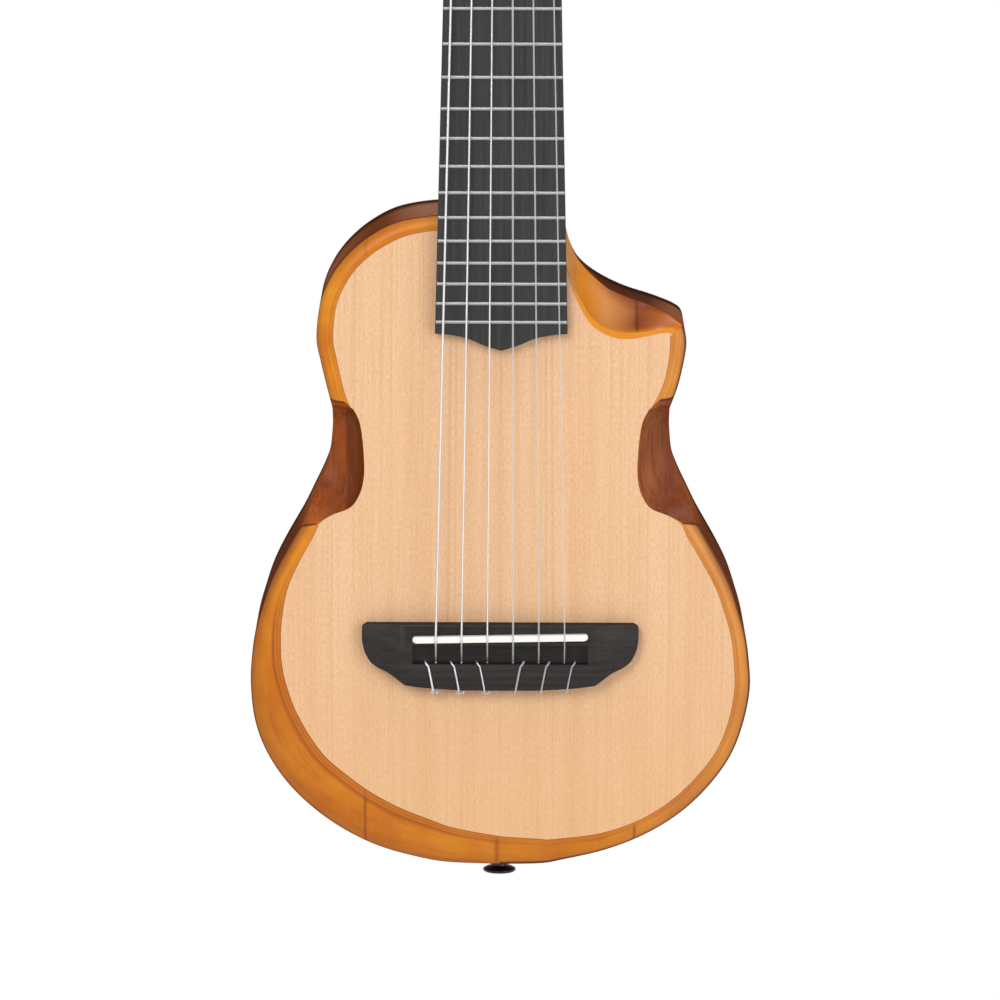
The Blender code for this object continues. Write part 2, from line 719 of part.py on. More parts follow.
def make_block(name, left, right, into_body, thickness):
    """A head or tail block: stepped sections that follow the body's end, skinned across x."""
    near = [s for s in left + right if abs(s.x) < BLOCK_HALF_WIDTH * 1.5]
    step_depth = max(s.foot() for s in near) + GLUE
    inner_edges = [s.at(s.width + GLUE, 0.0).z for s in near]
    step_at = (min(inner_edges) if into_body < 0.0 else max(inner_edges)) + into_body * GLUE
    inner_z = left[0].z + into_body * thickness
    inner_y = TOP_THICKNESS + GLUE
    sections = []
    for x, end_z in [(-x, z) for x, z in reversed(wall_places(left))] + wall_places(right)[1:]:
        section = [
            (step_depth, end_z), (step_depth, step_at), (inner_y, step_at), (inner_y, inner_z),
            (back_depth(inner_z) - BACK_THICKNESS - GLUE, inner_z),
            (back_depth(end_z) - BACK_THICKNESS - GLUE, end_z),
        ]
        sections.append([Vector((x, y, z)) for y, z in section])
    return loft(name, sections, "inner_wood")


def make_body():
    make_edge("edge_bass_upper", bass, bass_cuts[0], bass_cuts[1], "edge_wood")
    make_edge("waist_scoop_bass", bass, bass_cuts[1], bass_cuts[2], "scoop_wood")
    make_edge("edge_bass_lower", bass, bass_cuts[2], bass_cuts[3], "edge_wood")
    make_edge("edge_cutaway", treble, treble_cuts[0], treble_cuts[1], "edge_wood")
    make_edge("edge_treble_upper", treble, treble_cuts[1], treble_cuts[2], "edge_wood")
    make_edge("waist_scoop_treble", treble, treble_cuts[2], treble_cuts[3], "scoop_wood")
    make_edge("edge_treble_lower", treble, treble_cuts[3], treble_cuts[4], "edge_wood")
    make_soundboard()
    make_back_plate()
    side_bass = make_side("side_bass", bass)
    side_treble = make_side("side_treble", treble)
    make_top_lining("top_lining_bass", bass)
    make_top_lining("top_lining_treble", treble)
    make_back_lining("back_lining_bass", bass)
    make_back_lining("back_lining_treble", treble)
    make_block("head_block", bass[:4], bass[:4], -1.0, HEAD_BLOCK_THICKNESS)
    tail_block = make_block("tail_block", bass[:-5:-1], treble[:-5:-1], 1.0, TAIL_BLOCK_THICKNESS)
    cut_port(side_bass)
    return side_bass, side_treble, tail_block


def cut_port(side):
    """An oval sound port in the upper bout of the bass side, which faces the player."""
    port = rod("port_cutter", (-UPPER_HALF * 1.2, PORT_Y, JOINT_Z - PORT_DOWN),
               (-UPPER_HALF * 0.8, PORT_Y, JOINT_Z - PORT_DOWN), 1.0, 20, None, cutters)
    centre = Vector((0.0, PORT_Y, JOINT_Z - PORT_DOWN))
    for vertex in port.data.vertices:
        vertex.co.y = centre.y + (vertex.co.y - centre.y) * PORT_HALF_DEPTH
        vertex.co.z = centre.z + (vertex.co.z - centre.z) * PORT_HALF_LENGTH
    combine(side, port)


# Bracing

def open_width(z, stations, inset_of):
    """How far the body is open at height z, on one side, inside an inset from the outline."""
    spots = [station.at(inset_of(station), 0.0) for station in stations]
    for a, b in zip(spots, spots[1:]):
        if a.z >= z > b.z and abs(a.x) > BLOCK_HALF_WIDTH:
            return abs(a.x + (b.x - a.x) * (a.z - z) / (a.z - b.z))
    return 0.0


def brace_ends(z, inset_of):
    """The two ends of a cross brace at height z, clear of the linings."""
    edges = (z - BRACE_WIDTH / 2.0, z, z + BRACE_WIDTH / 2.0)
    left = min(open_width(edge, bass, inset_of) for edge in edges)
    right = min(open_width(edge, treble, inset_of) for edge in edges)
    return -left + 2.0 * GLUE, right - 2.0 * GLUE


def make_bracing():
    """Cross braces under the top and on the back, and two fan braces between the lower one and the bridge."""
    seat = TOP_THICKNESS + GLUE
    plate_top = SADDLE_Z + BRIDGE_ABOVE_SADDLE
    plate_half = BRIDGE_HALF - BRIDGE_PLATE_INSET
    box("bridge_plate", (-plate_half, seat, SADDLE_Z - BRIDGE_TAIL + BRIDGE_PLATE_INSET),
        (plate_half, seat + BRIDGE_PLATE_THICKNESS, plate_top), "inner_wood")
    fan_top = plate_top + FAN_LENGTH + FAN_CLEARANCE
    for name, side in (("fan_brace_bass", -1), ("fan_brace_treble", 1)):
        brace = box(name, (-FAN_HALF_WIDTH, 0.0, -FAN_LENGTH), (FAN_HALF_WIDTH, FAN_HEIGHT, 0.0), "inner_wood")
        brace.location = (side * FAN_X, seat, fan_top)
        brace.rotation_euler = (0.0, -side * FAN_ANGLE, 0.0)
    top_braces = (("upper", JOINT_Z - UPPER_BRACE_DOWN), ("lower", fan_top + FAN_CLEARANCE + BRACE_WIDTH / 2.0))
    for position, z in top_braces:
        left, right = brace_ends(z, lambda s: s.width + LINING_WIDTH)
        brace = box("top_brace_" + position, (left, seat, z - BRACE_WIDTH / 2.0),
                    (right, seat + BRACE_HEIGHT, z + BRACE_WIDTH / 2.0), "inner_wood")
        soften(brace, BRACE_WIDTH * 0.25)
    for position, down in (("upper", UPPER_BRACE_DOWN), ("lower", LOWER_BRACE_DOWN)):
        low, high = JOINT_Z - down - BRACE_WIDTH / 2.0, JOINT_Z - down + BRACE_WIDTH / 2.0
        left, right = brace_ends(JOINT_Z - down, lambda s: SIDE_THICKNESS + LINING_WIDTH)
        foot = back_depth(high) - BACK_THICKNESS - GLUE
        box("back_brace_" + position, (left, foot - BRACE_HEIGHT, low), (right, foot, high), "inner_wood")


# Neck, fretboard and headstock

def board_half(z):
    """Half the fretboard's width at height z, which also sets the neck's."""
    share = z / BOARD_END_Z
    return (NUT_WIDTH + (BOARD_END_WIDTH - NUT_WIDTH) * share) / 2.0


def neck_section(half, depth, roundness, foot, heel, place):
    """A section of the neck, flat on top. It is round where heel is 0; where heel is 1 it narrows to the foot."""
    points = []
    middle = NECK_SIDES // 2
    for k in range(NECK_SIDES + 1):
        angle = math.pi * k / NECK_SIDES
        c, s = math.cos(angle), math.sin(angle)
        round_x, round_y = math.copysign(abs(c) ** (2.0 / roundness), c), s ** (2.0 / roundness)
        down = min(1.0, min(k, NECK_SIDES - k) / (middle - 1.0))
        heel_x = math.copysign(foot + (1.0 - foot) * (1.0 - down) ** 1.3, c)
        heel_y = down ** 1.4
        if k == middle:
            round_x = heel_x = 0.0
        points.append(place(half * (round_x + (heel_x - round_x) * heel),
                            depth * (round_y + (heel_y - round_y) * heel)))
    return points


def head_point(x, v, u):
    """A point of the headstock: across, in from its face, and up along it."""
    return Vector((x, u * math.sin(HEAD_TILT) + v * math.cos(HEAD_TILT),
                   NUT_THICKNESS + u * math.cos(HEAD_TILT) - v * math.sin(HEAD_TILT)))


HEAD_PROFILE = (
    # distance up the headstock, half width
    (0.0020, NUT_WIDTH / 2.0),
    (0.0100, NUT_WIDTH / 2.0 + 0.0020),
    (0.0200, HEAD_HALF - 0.0012),
    (0.0280, HEAD_HALF),
    (0.0600, HEAD_HALF - CHAMFER),
    (HEAD_LENGTH - 0.0120, HEAD_TOP_HALF),
    (HEAD_LENGTH - 0.0060, HEAD_TOP_HALF - 0.0022),
    (HEAD_LENGTH - 0.0030, HEAD_TOP_HALF - 0.0080),
    (HEAD_LENGTH - 0.0010, HEAD_TOP_HALF - 0.0170),
    (HEAD_LENGTH, 0.0030),
)


def make_neck():
    """Heel, neck and headstock in one loft, from the body's joint up, with the truss rod's channel cut in."""
    sections = []
    heel_z = JOINT_Z + GLUE
    full = back_depth(JOINT_Z) - HEEL_CAP_THICKNESS - GLUE
    for share in (0.0, 0.45, 0.80, 0.98):
        z = heel_z + HEEL_CAP_LENGTH * share
        foot = HEEL_CAP_HALF_WIDTH * math.sqrt(1.0 - share * share) / board_half(z)
        sections.append(neck_section(board_half(z), full, NECK_ROUNDNESS, foot, 1.0,
                                     lambda x, y, z=z: Vector((x, y, z))))
    for share in (0.10, 0.24, 0.42, 0.62, 0.82):
        z = heel_z + HEEL_CAP_LENGTH + HEEL_SWEEP * share
        depth = NECK_DEPTH_HEEL + (full - NECK_DEPTH_HEEL) * (1.0 - share) ** 2.6
        sections.append(neck_section(board_half(z), depth, NECK_ROUNDNESS, 0.0, (1.0 - share) ** 1.5,
                                     lambda x, y, z=z: Vector((x, y, z))))
    slim_from = heel_z + HEEL_CAP_LENGTH + HEEL_SWEEP
    for share in (0.0, 0.33, 0.67, 0.93):
        z = slim_from * (1.0 - share)
        depth = NECK_DEPTH_HEEL + (NECK_DEPTH_NUT - NECK_DEPTH_HEEL) * share
        sections.append(neck_section(board_half(z), depth, NECK_ROUNDNESS, 0.0, 0.0,
                                     lambda x, y, z=z: Vector((x, y, z))))
    sections.append(neck_section(NUT_WIDTH / 2.0, HEAD_THICKNESS, HEAD_ROOT_SQUARENESS, 0.0, 0.0,
                                 lambda x, y: Vector((x, y, -HEAD_ROOT_BELOW_NUT))))
    for u, half in HEAD_PROFILE:
        sections.append(neck_section(half, HEAD_THICKNESS, HEAD_SQUARENESS, 0.0, 0.0,
                                     lambda x, y, u=u: head_point(x, y, u)))
    neck = loft("neck", sections, "neck_wood")
    rod_low = JOINT_Z + ROD_FROM_JOINT
    channel = box("rod_channel_cutter", (-ROD_WIDTH / 2.0 - CLEAR, -CUT_PAST, rod_low - CLEAR),
                  (ROD_WIDTH / 2.0 + CLEAR, ROD_DEPTH + 2.0 * CLEAR, -ROD_FROM_NUT + CLEAR), None, cutters)
    combine(neck, channel)
    truss = box("truss_rod", (-ROD_WIDTH / 2.0, CLEAR, rod_low),
                (ROD_WIDTH / 2.0, ROD_DEPTH + CLEAR, -ROD_FROM_NUT), "steel")
    soften(truss, 0.0008)
    return neck


def make_heel_cap():
    """The plate that closes the heel's foot, level with the back."""
    outline = []
    for k in range(9):
        angle = math.pi * k / 8.0
        outline.append((HEEL_CAP_HALF_WIDTH * math.cos(angle), HEEL_CAP_LENGTH * math.sin(angle)))
    cap = flat_piece("heel_cap", outline, HEEL_CAP_THICKNESS, "dark_wood")
    cap.rotation_euler = (math.pi / 2.0, 0.0, 0.0)
    cap.location = (0.0, back_depth(JOINT_Z) - HEEL_CAP_THICKNESS / 2.0, JOINT_Z + GLUE)
    return cap


def fret_z(number):
    return -SCALE_LENGTH * (1.0 - 2.0 ** (-number / 12.0))


def make_fretboard():
    """The board with its frets: rectangular sections along z, raised at each fret, to a pointed end."""
    def section(z, half, top):
        return [Vector((-half, -GLUE, z)), Vector((half, -GLUE, z)), Vector((half, top, z)),
                Vector((-half, top, z))]
    sections = [section(-GLUE, board_half(0.0), BOARD_TOP)]
    crown = ((0.5, 0.0), (0.36, 0.7), (0.0, 1.0), (-0.36, 0.7), (-0.5, 0.0))
    for number in range(1, FRET_COUNT + 1):
        for along, rise in crown:
            z = fret_z(number) + FRET_WIDTH * along
            sections.append(section(z, board_half(z), BOARD_TOP - FRET_HEIGHT * rise))
    half_end = BOARD_END_WIDTH / 2.0
    for across, down in ((1.0, 0.0), (0.87, 0.09), (0.53, 0.36), (0.23, 0.70), (0.012, 1.0)):
        sections.append(section(BOARD_END_Z - BOARD_POINT * down, half_end * across, BOARD_TOP))
    return loft("fretboard", sections, "dark_wood")


def head_frame():
    """The frame in which the headstock's pieces are placed: z up along it, y into it."""
    empty = bpy.data.objects.new("headstock_frame", None)
    parts.objects.link(empty)
    empty.location = (0.0, 0.0, NUT_THICKNESS)
    empty.rotation_euler = (-HEAD_TILT, 0.0, 0.0)
    return empty


def post_places():
    """Number, side, height and sign for each string's post: string 1 is the highest, on the treble side."""
    places = []
    for number in range(1, 7):
        side = 1 if number <= 3 else -1
        order = number - 1 if number <= 3 else 6 - number
        places.append((number, side, POST_FIRST + order * POST_SPACING))
    return places


def make_veneer(frame):
    half_rows = [(half - GLUE, u) for u, half in HEAD_PROFILE[:-1]]
    outline = [(half, u + GLUE) for half, u in half_rows]
    outline += [(-half, u + GLUE) for half, u in reversed(half_rows)]
    veneer = flat_piece("headstock_veneer", outline, VENEER_THICKNESS, "dark_wood")
    veneer.parent = frame
    veneer.rotation_euler = (math.pi / 2.0, 0.0, 0.0)
    veneer.location = (0.0, -GLUE - VENEER_THICKNESS / 2.0, 0.0)
    return veneer


def drill_posts(frame, pieces):
    """The six holes for the ferrules, through the headstock and its veneer."""
    for number, side, u in post_places():
        drill = rod("post_drill_%d" % number, (side * POST_X, -CUT_PAST, u),
                    (side * POST_X, HEAD_BACK + CUT_PAST, u),
                    FERRULE_RADIUS + CLEAR, 12, None, cutters)
        drill.parent = frame
        for piece in pieces:
            combine(piece, drill)


# Tuners

def make_ferrule_mesh():
    """A flanged bushing: a turned ring with its bore, about local Z, its flange on top."""
    bore = POST_RADIUS + CLEAR
    face = VENEER_FACE + GLUE
    outer = FERRULE_RADIUS
    top = face + FERRULE_FLANGE_THICKNESS
    profile = [(bore, top), (FERRULE_FLANGE - CHAMFER, top), (FERRULE_FLANGE, face), (outer, face),
               (outer, -FERRULE_DEPTH), (bore, -FERRULE_DEPTH)]
    rings = []
    for k in range(12):
        angle = 2.0 * math.pi * k / 12
        rings.append([Vector((r * math.cos(angle), r * math.sin(angle), z)) for r, z in profile])
    bm = bmesh.new()
    rows = [[bm.verts.new(point) for point in points] for points in rings]
    for a, b in zip(rows, rows[1:] + rows[:1]):
        for i in range(len(profile)):
            j = (i + 1) % len(profile)
            bm.faces.new((a[i], a[j], b[j], b[i]))
    mesh = to_mesh(bm, "ferrule")
    mesh.materials.append(materials["black_metal"])
    return mesh


def gear_outline():
    """The gear wheel's teeth: one of them points along -y, at the worm."""
    outline = []
    for tooth in range(GEAR_TEETH):
        centre = -math.pi / 2.0 + 2.0 * math.pi * tooth / GEAR_TEETH
        step = 2.0 * math.pi / GEAR_TEETH
        for share, radius in ((-0.5, GEAR_ROOT), (-0.12, GEAR_RADIUS), (0.12, GEAR_RADIUS)):
            angle = centre + share * step
            outline.append((radius * math.cos(angle), radius * math.sin(angle)))
    return outline


def string_hole_height(number):
    """How far the post's string hole stands above the headstock's face."""
    diameter = STRING_DIAMETERS[number - 1]
    pitch = diameter + WINDING_GAP
    return VENEER_FACE + WINDING_START + diameter / 2.0 + pitch * (WINDING_TURNS + 1.0)


def make_post(number, side, u, frame):
    """String post and gear wheel, turned and joined; its axis is local Z, pointing out of the face."""
    name = "tuner_post_%d" % number
    profile = [(POST_RADIUS - CHAMFER, POST_TOP), (POST_RADIUS, POST_TOP - CHAMFER),
               (POST_RADIUS, -GEAR_FRONT - 0.0001),
               (POST_RADIUS - 0.0008, -GEAR_FRONT - GEAR_THICKNESS - 0.0008)]
    post = turned(name, profile, "black_metal", 12)
    gear = flat_piece(name + "_gear", gear_outline(), GEAR_THICKNESS, None, cutters)
    gear.location = (0.0, 0.0, -GEAR_MIDDLE)
    combine(post, gear, "UNION")
    diameter = STRING_DIAMETERS[number - 1]
    height = string_hole_height(number)
    hole = rod(name + "_hole", (-POST_RADIUS * 2.0, 0.0, height), (POST_RADIUS * 2.0, 0.0, height),
               diameter / 2.0 + CLEAR, 8, None, cutters)
    combine(post, hole)
    settle(post)
    post.parent = frame
    post.rotation_euler = (math.pi / 2.0, 0.0, 0.0)
    post.location = (side * POST_X, 0.0, u)
    return post


BUTTON_RINGS = ((0.0, 0.40), (0.16, 0.78), (0.50, 1.0), (0.84, 0.84), (1.0, 0.44))


def worm_radius_at(angle, z):
    """The worm's thread: a right-handed wave between root and crest, its groove facing +x at z = 0."""
    wave = math.cos(angle - 2.0 * math.pi * z / WORM_PITCH + math.pi)
    return (WORM_RADIUS + WORM_ROOT) / 2.0 + (WORM_RADIUS - WORM_ROOT) / 2.0 * wave


def button_ring(z, share):
    """One ring of the oval button, as a share of its full size."""
    points = []
    for k in range(KNOB_SIDES):
        angle = 2.0 * math.pi * k / KNOB_SIDES
        points.append(Vector((BUTTON_HALF_THICKNESS * share * math.cos(angle),
                              BUTTON_HALF_WIDTH * share * math.sin(angle), z)))
    return points


def round_ring(z, radius, count=12):
    return [Vector((radius * math.cos(2.0 * math.pi * k / count), radius * math.sin(2.0 * math.pi * k / count), z))
            for k in range(count)]


def make_knob_mesh():
    """Worm, shaft and button in one, along local Z, which points out of the headstock."""
    sides = KNOB_SIDES
    half = WORM_LENGTH / 2.0
    steps = round(WORM_LENGTH / WORM_PITCH * 4)
    rings = [round_ring(-half - LUG_THICKNESS - 2.0 * CLEAR - 0.0008, SHAFT_RADIUS, sides),
             round_ring(-half, SHAFT_RADIUS, sides)]
    for k in range(steps + 1):
        z = -half + WORM_LENGTH * k / steps
        points = []
        for j in range(sides):
            angle = 2.0 * math.pi * j / sides
            radius = worm_radius_at(angle, z)
            points.append(Vector((radius * math.cos(angle), radius * math.sin(angle), z)))
        rings.append(points)
    shaft_end = HEAD_HALF - POST_X + BUTTON_GAP
    rings.append(round_ring(half, SHAFT_RADIUS, sides))
    rings.append(round_ring(shaft_end, SHAFT_RADIUS, sides))
    for along, share in BUTTON_RINGS:
        rings.append(button_ring(shaft_end + 0.0004 + BUTTON_LENGTH * along, share))
    knob = loft("knob_master", rings, "black_metal")
    mesh = knob.data
    bpy.data.objects.remove(knob, do_unlink=True)
    return mesh


def worm_height(u):
    """The worm runs below its gear wheel."""
    return u - WORM_DISTANCE


def make_plate(name, side, frame):
    """The tuner plate: a long plate behind the headstock, with a pair of lugs for each worm."""
    low = worm_height(POST_FIRST) - PLATE_OVERHANG / 2.0
    high = POST_FIRST + 2.0 * POST_SPACING + PLATE_OVERHANG
    front = HEAD_BACK + GLUE
    plate = box(name, (side * POST_X - PLATE_HALF_WIDTH, front, low),
                (side * POST_X + PLATE_HALF_WIDTH, PLATE_BACK, high), "black_metal")
    reach = WORM_LENGTH / 2.0 + CLEAR
    for order in range(3):
        u = POST_FIRST + order * POST_SPACING
        z = worm_height(u)
        for end in (-1, 1):
            inner = side * POST_X + end * reach
            outer = inner + end * LUG_THICKNESS
            lug = box("%s_lug_%d_%d" % (name, order, end),
                      (min(inner, outer), PLATE_BACK - 0.0005, z - LUG_HALF_WIDTH),
                      (max(inner, outer), GEAR_MIDDLE + LUG_HALF_WIDTH, z + LUG_HALF_WIDTH), None, cutters)
            lug.parent = frame
            combine(plate, lug, "UNION")
        bore = rod("%s_worm_bore_%d" % (name, order), (side * POST_X - 2.0 * CUT_PAST, GEAR_MIDDLE, z),
                   (side * POST_X + 2.0 * CUT_PAST, GEAR_MIDDLE, z), SHAFT_RADIUS + CLEAR, 10, None, cutters)
        bore.parent = frame
        combine(plate, bore)
        hole = rod("%s_post_hole_%d" % (name, order), (side * POST_X, front - CUT_PAST, u),
                   (side * POST_X, PLATE_BACK + CUT_PAST, u), POST_RADIUS + CLEAR, 12, None, cutters)
        hole.parent = frame
        combine(plate, hole)
    plate.parent = frame
    return plate


def make_tuners(frame):
    ferrule = make_ferrule_mesh()
    knob = make_knob_mesh()
    make_plate("tuner_plate_bass", -1, frame)
    make_plate("tuner_plate_treble", 1, frame)
    for number, side, u in post_places():
        make_post(number, side, u, frame)
        bushing = bpy.data.objects.new("ferrule_%d" % number, ferrule)
        turner = bpy.data.objects.new("tuner_knob_%d" % number, knob)
        for item in (bushing, turner):
            parts.objects.link(item)
            item.parent = frame
        bushing.rotation_euler = (math.pi / 2.0, 0.0, 0.0)
        bushing.location = (side * POST_X, 0.0, u)
        turner.matrix_local = knob_matrix(side, u)


def knob_matrix(side, u):
    """Places a knob: its local Z points outward, and its local X at the gear wheel."""
    out = Vector((side, 0.0, 0.0))
    at_gear = Vector((0.0, 0.0, 1.0))
    across = out.cross(at_gear)
    turn = Matrix((at_gear, across, out)).transposed().to_4x4()
    return Matrix.Translation((side * POST_X, GEAR_MIDDLE, worm_height(u))) @ turn


# Nut, saddle, bridge and end pin

def string_x(number, spread):
    """Where a string crosses the nut or the saddle; string 1 is on the treble side."""
    return spread * (0.5 - (number - 1) / 5.0)


NUT_SLOT_Y = BOARD_TOP - FRET_HEIGHT - 0.0009
SADDLE_TOP = -(GLUE + SADDLE_HEIGHT)
BRIDGE_TOP = -(GLUE + BRIDGE_HEIGHT)


def make_nut():
    nut = box("nut", (-NUT_WIDTH / 2.0, -GLUE - NUT_HEIGHT, 0.0), (NUT_WIDTH / 2.0, -GLUE, NUT_THICKNESS), "bone")
    soften(nut, CHAMFER)
    for number in range(1, 7):
        x = string_x(number, NUT_SPREAD)
        half = STRING_DIAMETERS[number - 1] / 2.0 + CLEAR
        slot = box("nut_slot_%d" % number, (x - half, -2.0 * CUT_PAST, -CUT_PAST),
                   (x + half, NUT_SLOT_Y, NUT_THICKNESS + CUT_PAST), None, cutters)
        combine(nut, slot)


def bridge_outline():
    """The bridge from the front: straight above, rounded wings, and a curved tie block below."""
    top = BRIDGE_ABOVE_SADDLE
    half = BRIDGE_HALF
    tail_z = -BRIDGE_TAIL
    right = [
        (half - 0.0030, top), (half - 0.0006, top - 0.0010), (half, top - 0.0030), (half - 0.0002, -0.0030),
        (half - 0.0016, -0.0080), (half - 0.0040, -0.0120), (half - 0.0075, -0.0146), (half - 0.0125, -0.0170),
        (TIE_HALF + 0.0015, tail_z + 0.0032), (TIE_HALF - 0.0006, tail_z + 0.0024),
        (TIE_HALF - 0.0100, tail_z + 0.0012), (TIE_HALF * 0.4, tail_z + 0.0002),
    ]
    return right + [(-x, z) for x, z in reversed(right)]


def make_bridge():
    bridge = flat_piece("bridge", bridge_outline(), BRIDGE_HEIGHT, "dark_wood")
    bridge.data.transform(Matrix.Rotation(math.pi / 2.0, 4, "X"))
    bridge.location = (0.0, -GLUE - BRIDGE_HEIGHT / 2.0, SADDLE_Z)
    soften(bridge, 0.0007)
    half = BRIDGE_HALF
    for side in (-1, 1):
        wedge = box("wing_cutter_%d" % side, (0.0, -CUT_PAST, -half), (half, 0.0, half), None, cutters)
        drop = math.atan2(BRIDGE_HEIGHT - BRIDGE_WING_HEIGHT, half - TIE_HALF)
        wedge.location = (side * TIE_HALF, BRIDGE_TOP, SADDLE_Z)
        wedge.rotation_euler = (0.0, 0.0, drop) if side > 0 else (0.0, math.pi, -drop)
        combine(bridge, wedge)
    block_z = SADDLE_Z - TIE_BLOCK_FROM_SADDLE
    recess = box("recess_cutter", (-SADDLE_LENGTH / 2.0, BRIDGE_TOP - CUT_PAST, block_z),
                 (SADDLE_LENGTH / 2.0, BRIDGE_TOP + RECESS_DEPTH, SADDLE_Z - SADDLE_THICKNESS / 2.0 - 0.0022),
                 None, cutters)
    combine(bridge, recess)
    slot = saddle_solid("saddle_slot_cutter", CLEAR, None, cutters)
    combine(bridge, slot)
    for number in range(1, 7):
        x = string_x(number, SADDLE_SPREAD)
        hole = rod("tie_hole_%d" % number, (x, -TIE_HOLE_HEIGHT, block_z + 0.004),
                   (x, -TIE_HOLE_HEIGHT, SADDLE_Z - BRIDGE_TAIL - CUT_PAST),
                   STRING_DIAMETERS[number - 1] / 2.0 + CLEAR, 8, None, cutters)
        combine(bridge, hole)
    return bridge


def saddle_solid(name, margin, material, collection):
    """The saddle, or its slot where a margin is given: a bar with round ends, a little slanted."""
    radius = SADDLE_THICKNESS / 2.0 + margin
    reach = SADDLE_LENGTH / 2.0 + margin - radius
    outline = []
    for side, start in ((1, -math.pi / 2.0), (-1, math.pi / 2.0)):
        for k in range(7):
            angle = start + math.pi * k / 6.0
            outline.append((side * reach + radius * math.cos(angle), radius * math.sin(angle)))
    bottom = BRIDGE_TOP + SADDLE_SLOT_DEPTH - (0.0 if margin else CLEAR)
    height = bottom - SADDLE_TOP
    saddle = flat_piece(name, outline, height, material, collection)
    saddle.rotation_euler = (math.pi / 2.0, -SADDLE_SLANT, 0.0)
    saddle.location = (0.0, (bottom + SADDLE_TOP) / 2.0, SADDLE_Z)
    return saddle


def make_end_pin(cut_pieces):
    """The strap pin at the tail, turned about an axis that points down out of the body."""
    profile = [
        (PIN_SHAFT_RADIUS, PIN_SHAFT_LENGTH), (PIN_SHAFT_RADIUS, -GLUE), (PIN_HEAD_RADIUS - 0.0008, -GLUE),
        (PIN_HEAD_RADIUS - 0.0008, -0.0016), (PIN_SHAFT_RADIUS + 0.0004, -0.0030), (PIN_SHAFT_RADIUS, -0.0050),
        (PIN_HEAD_RADIUS - 0.0022, -PIN_LENGTH + 0.0026), (PIN_HEAD_RADIUS, -PIN_LENGTH + 0.0016),
        (PIN_HEAD_RADIUS, -PIN_LENGTH + 0.0006), (PIN_HEAD_RADIUS - 0.0008, -PIN_LENGTH),
    ]
    pin = turned("end_pin", profile, "black_metal", 20)
    pin.location = (0.0, PIN_Y, TAIL_Z)
    drill = rod("pin_drill", (0.0, PIN_Y, TAIL_Z - CUT_PAST), (0.0, PIN_Y, TAIL_Z + 6.0 * CUT_PAST),
                PIN_SHAFT_RADIUS + CLEAR, 16, None, cutters)
    for piece in cut_pieces:
        combine(piece, drill)


# Strings

def tie_route(number):
    """The string's tail: from its end beside the string, over the tie block, and into its hole."""
    x = string_x(number, SADDLE_SPREAD)
    radius = STRING_DIAMETERS[number - 1] / 2.0
    lean = 1.0 if number <= 3 else -1.0
    front = SADDLE_Z - TIE_BLOCK_FROM_SADDLE
    rear = SADDLE_Z - BRIDGE_TAIL
    over = BRIDGE_TOP - CLEAR - radius
    return [
        (x + lean * 0.0022, -0.0062, front + 0.0024),
        (x + lean * (TIE_SLANT - 0.0006), over + 0.0018, front + 0.0018),
        (x + lean * TIE_SLANT, over - 0.0001, front + 0.0004),
        (x + lean * (TIE_SLANT - 0.0006), over - 0.0002, front - 0.0020),
        (x + lean * 0.0012, over - 0.0002, rear + 0.0018),
        (x + lean * 0.0004, over + 0.0004, rear - 0.0004),
        (x, -TIE_HOLE_HEIGHT - 0.0020, rear - 0.0020),
        (x, -TIE_HOLE_HEIGHT - 0.0002, rear - 0.0016),
        (x, -TIE_HOLE_HEIGHT, rear - 0.0002),
        (x, -TIE_HOLE_HEIGHT, front + 0.0004),
    ]


def string_route(number):
    """The whole string: tie loop, saddle, nut, turns round the post, and through its hole."""
    side, u = next((s, h) for n, s, h in post_places() if n == number)
    radius = STRING_DIAMETERS[number - 1] / 2.0
    saddle_x = string_x(number, SADDLE_SPREAD)
    nut_x = string_x(number, NUT_SPREAD)
    slant = math.tan(SADDLE_SLANT) * saddle_x
    high = SADDLE_TOP - CLEAR - radius
    half = SADDLE_THICKNESS / 2.0
    route = tie_route(number)
    route.append((saddle_x, high + 0.0006, SADDLE_Z + slant - half - 0.0012))
    route.append((saddle_x, high, SADDLE_Z + slant - half))
    route.append((saddle_x, high, SADDLE_Z + slant + half))
    nut_y = NUT_SLOT_Y - CLEAR - radius
    route.append((nut_x, nut_y, -0.0004))
    route.append((nut_x, nut_y, NUT_THICKNESS + 0.0002))
    route.extend(winding(number, side, u, radius, nut_x))
    return route


def winding(number, side, u, radius, nut_x):
    """The turns round the post, as a helix that climbs from the headstock to the post's hole."""
    turn_radius = POST_RADIUS + CLEAR + radius
    start_height = VENEER_FACE + WINDING_START + radius
    pitch = 2.0 * radius + WINDING_GAP
    hole_height = string_hole_height(number)
    centre_x = side * POST_X
    run = math.atan2(centre_x - side * turn_radius - nut_x, u)
    first = (math.pi if side > 0 else 0.0) + run

    def place(angle, reach, height):
        return head_point(centre_x + turn_radius * reach * math.cos(angle), -height,
                          u + turn_radius * reach * math.sin(angle))

    steps = int(WINDING_TURNS * WINDING_STEPS)
    points = []
    for k in range(steps + 1):
        angle = first - side * (2.0 * math.pi * k / WINDING_STEPS)
        height = start_height + pitch * k / WINDING_STEPS
        points.append(place(angle, 1.0, height))
    goal = nearest_hole_angle(angle, side)
    for k in range(1, CLIMB_STEPS + 1):
        share = k / CLIMB_STEPS
        climb = min(1.0, share * 1.25)
        points.append(place(angle + (goal - angle) * share, 1.0 + 0.12 * climb,
                            height + (hole_height - height) * climb))
    for reach in (0.55, -1.55):
        points.append(place(goal, reach, hole_height))
    return points


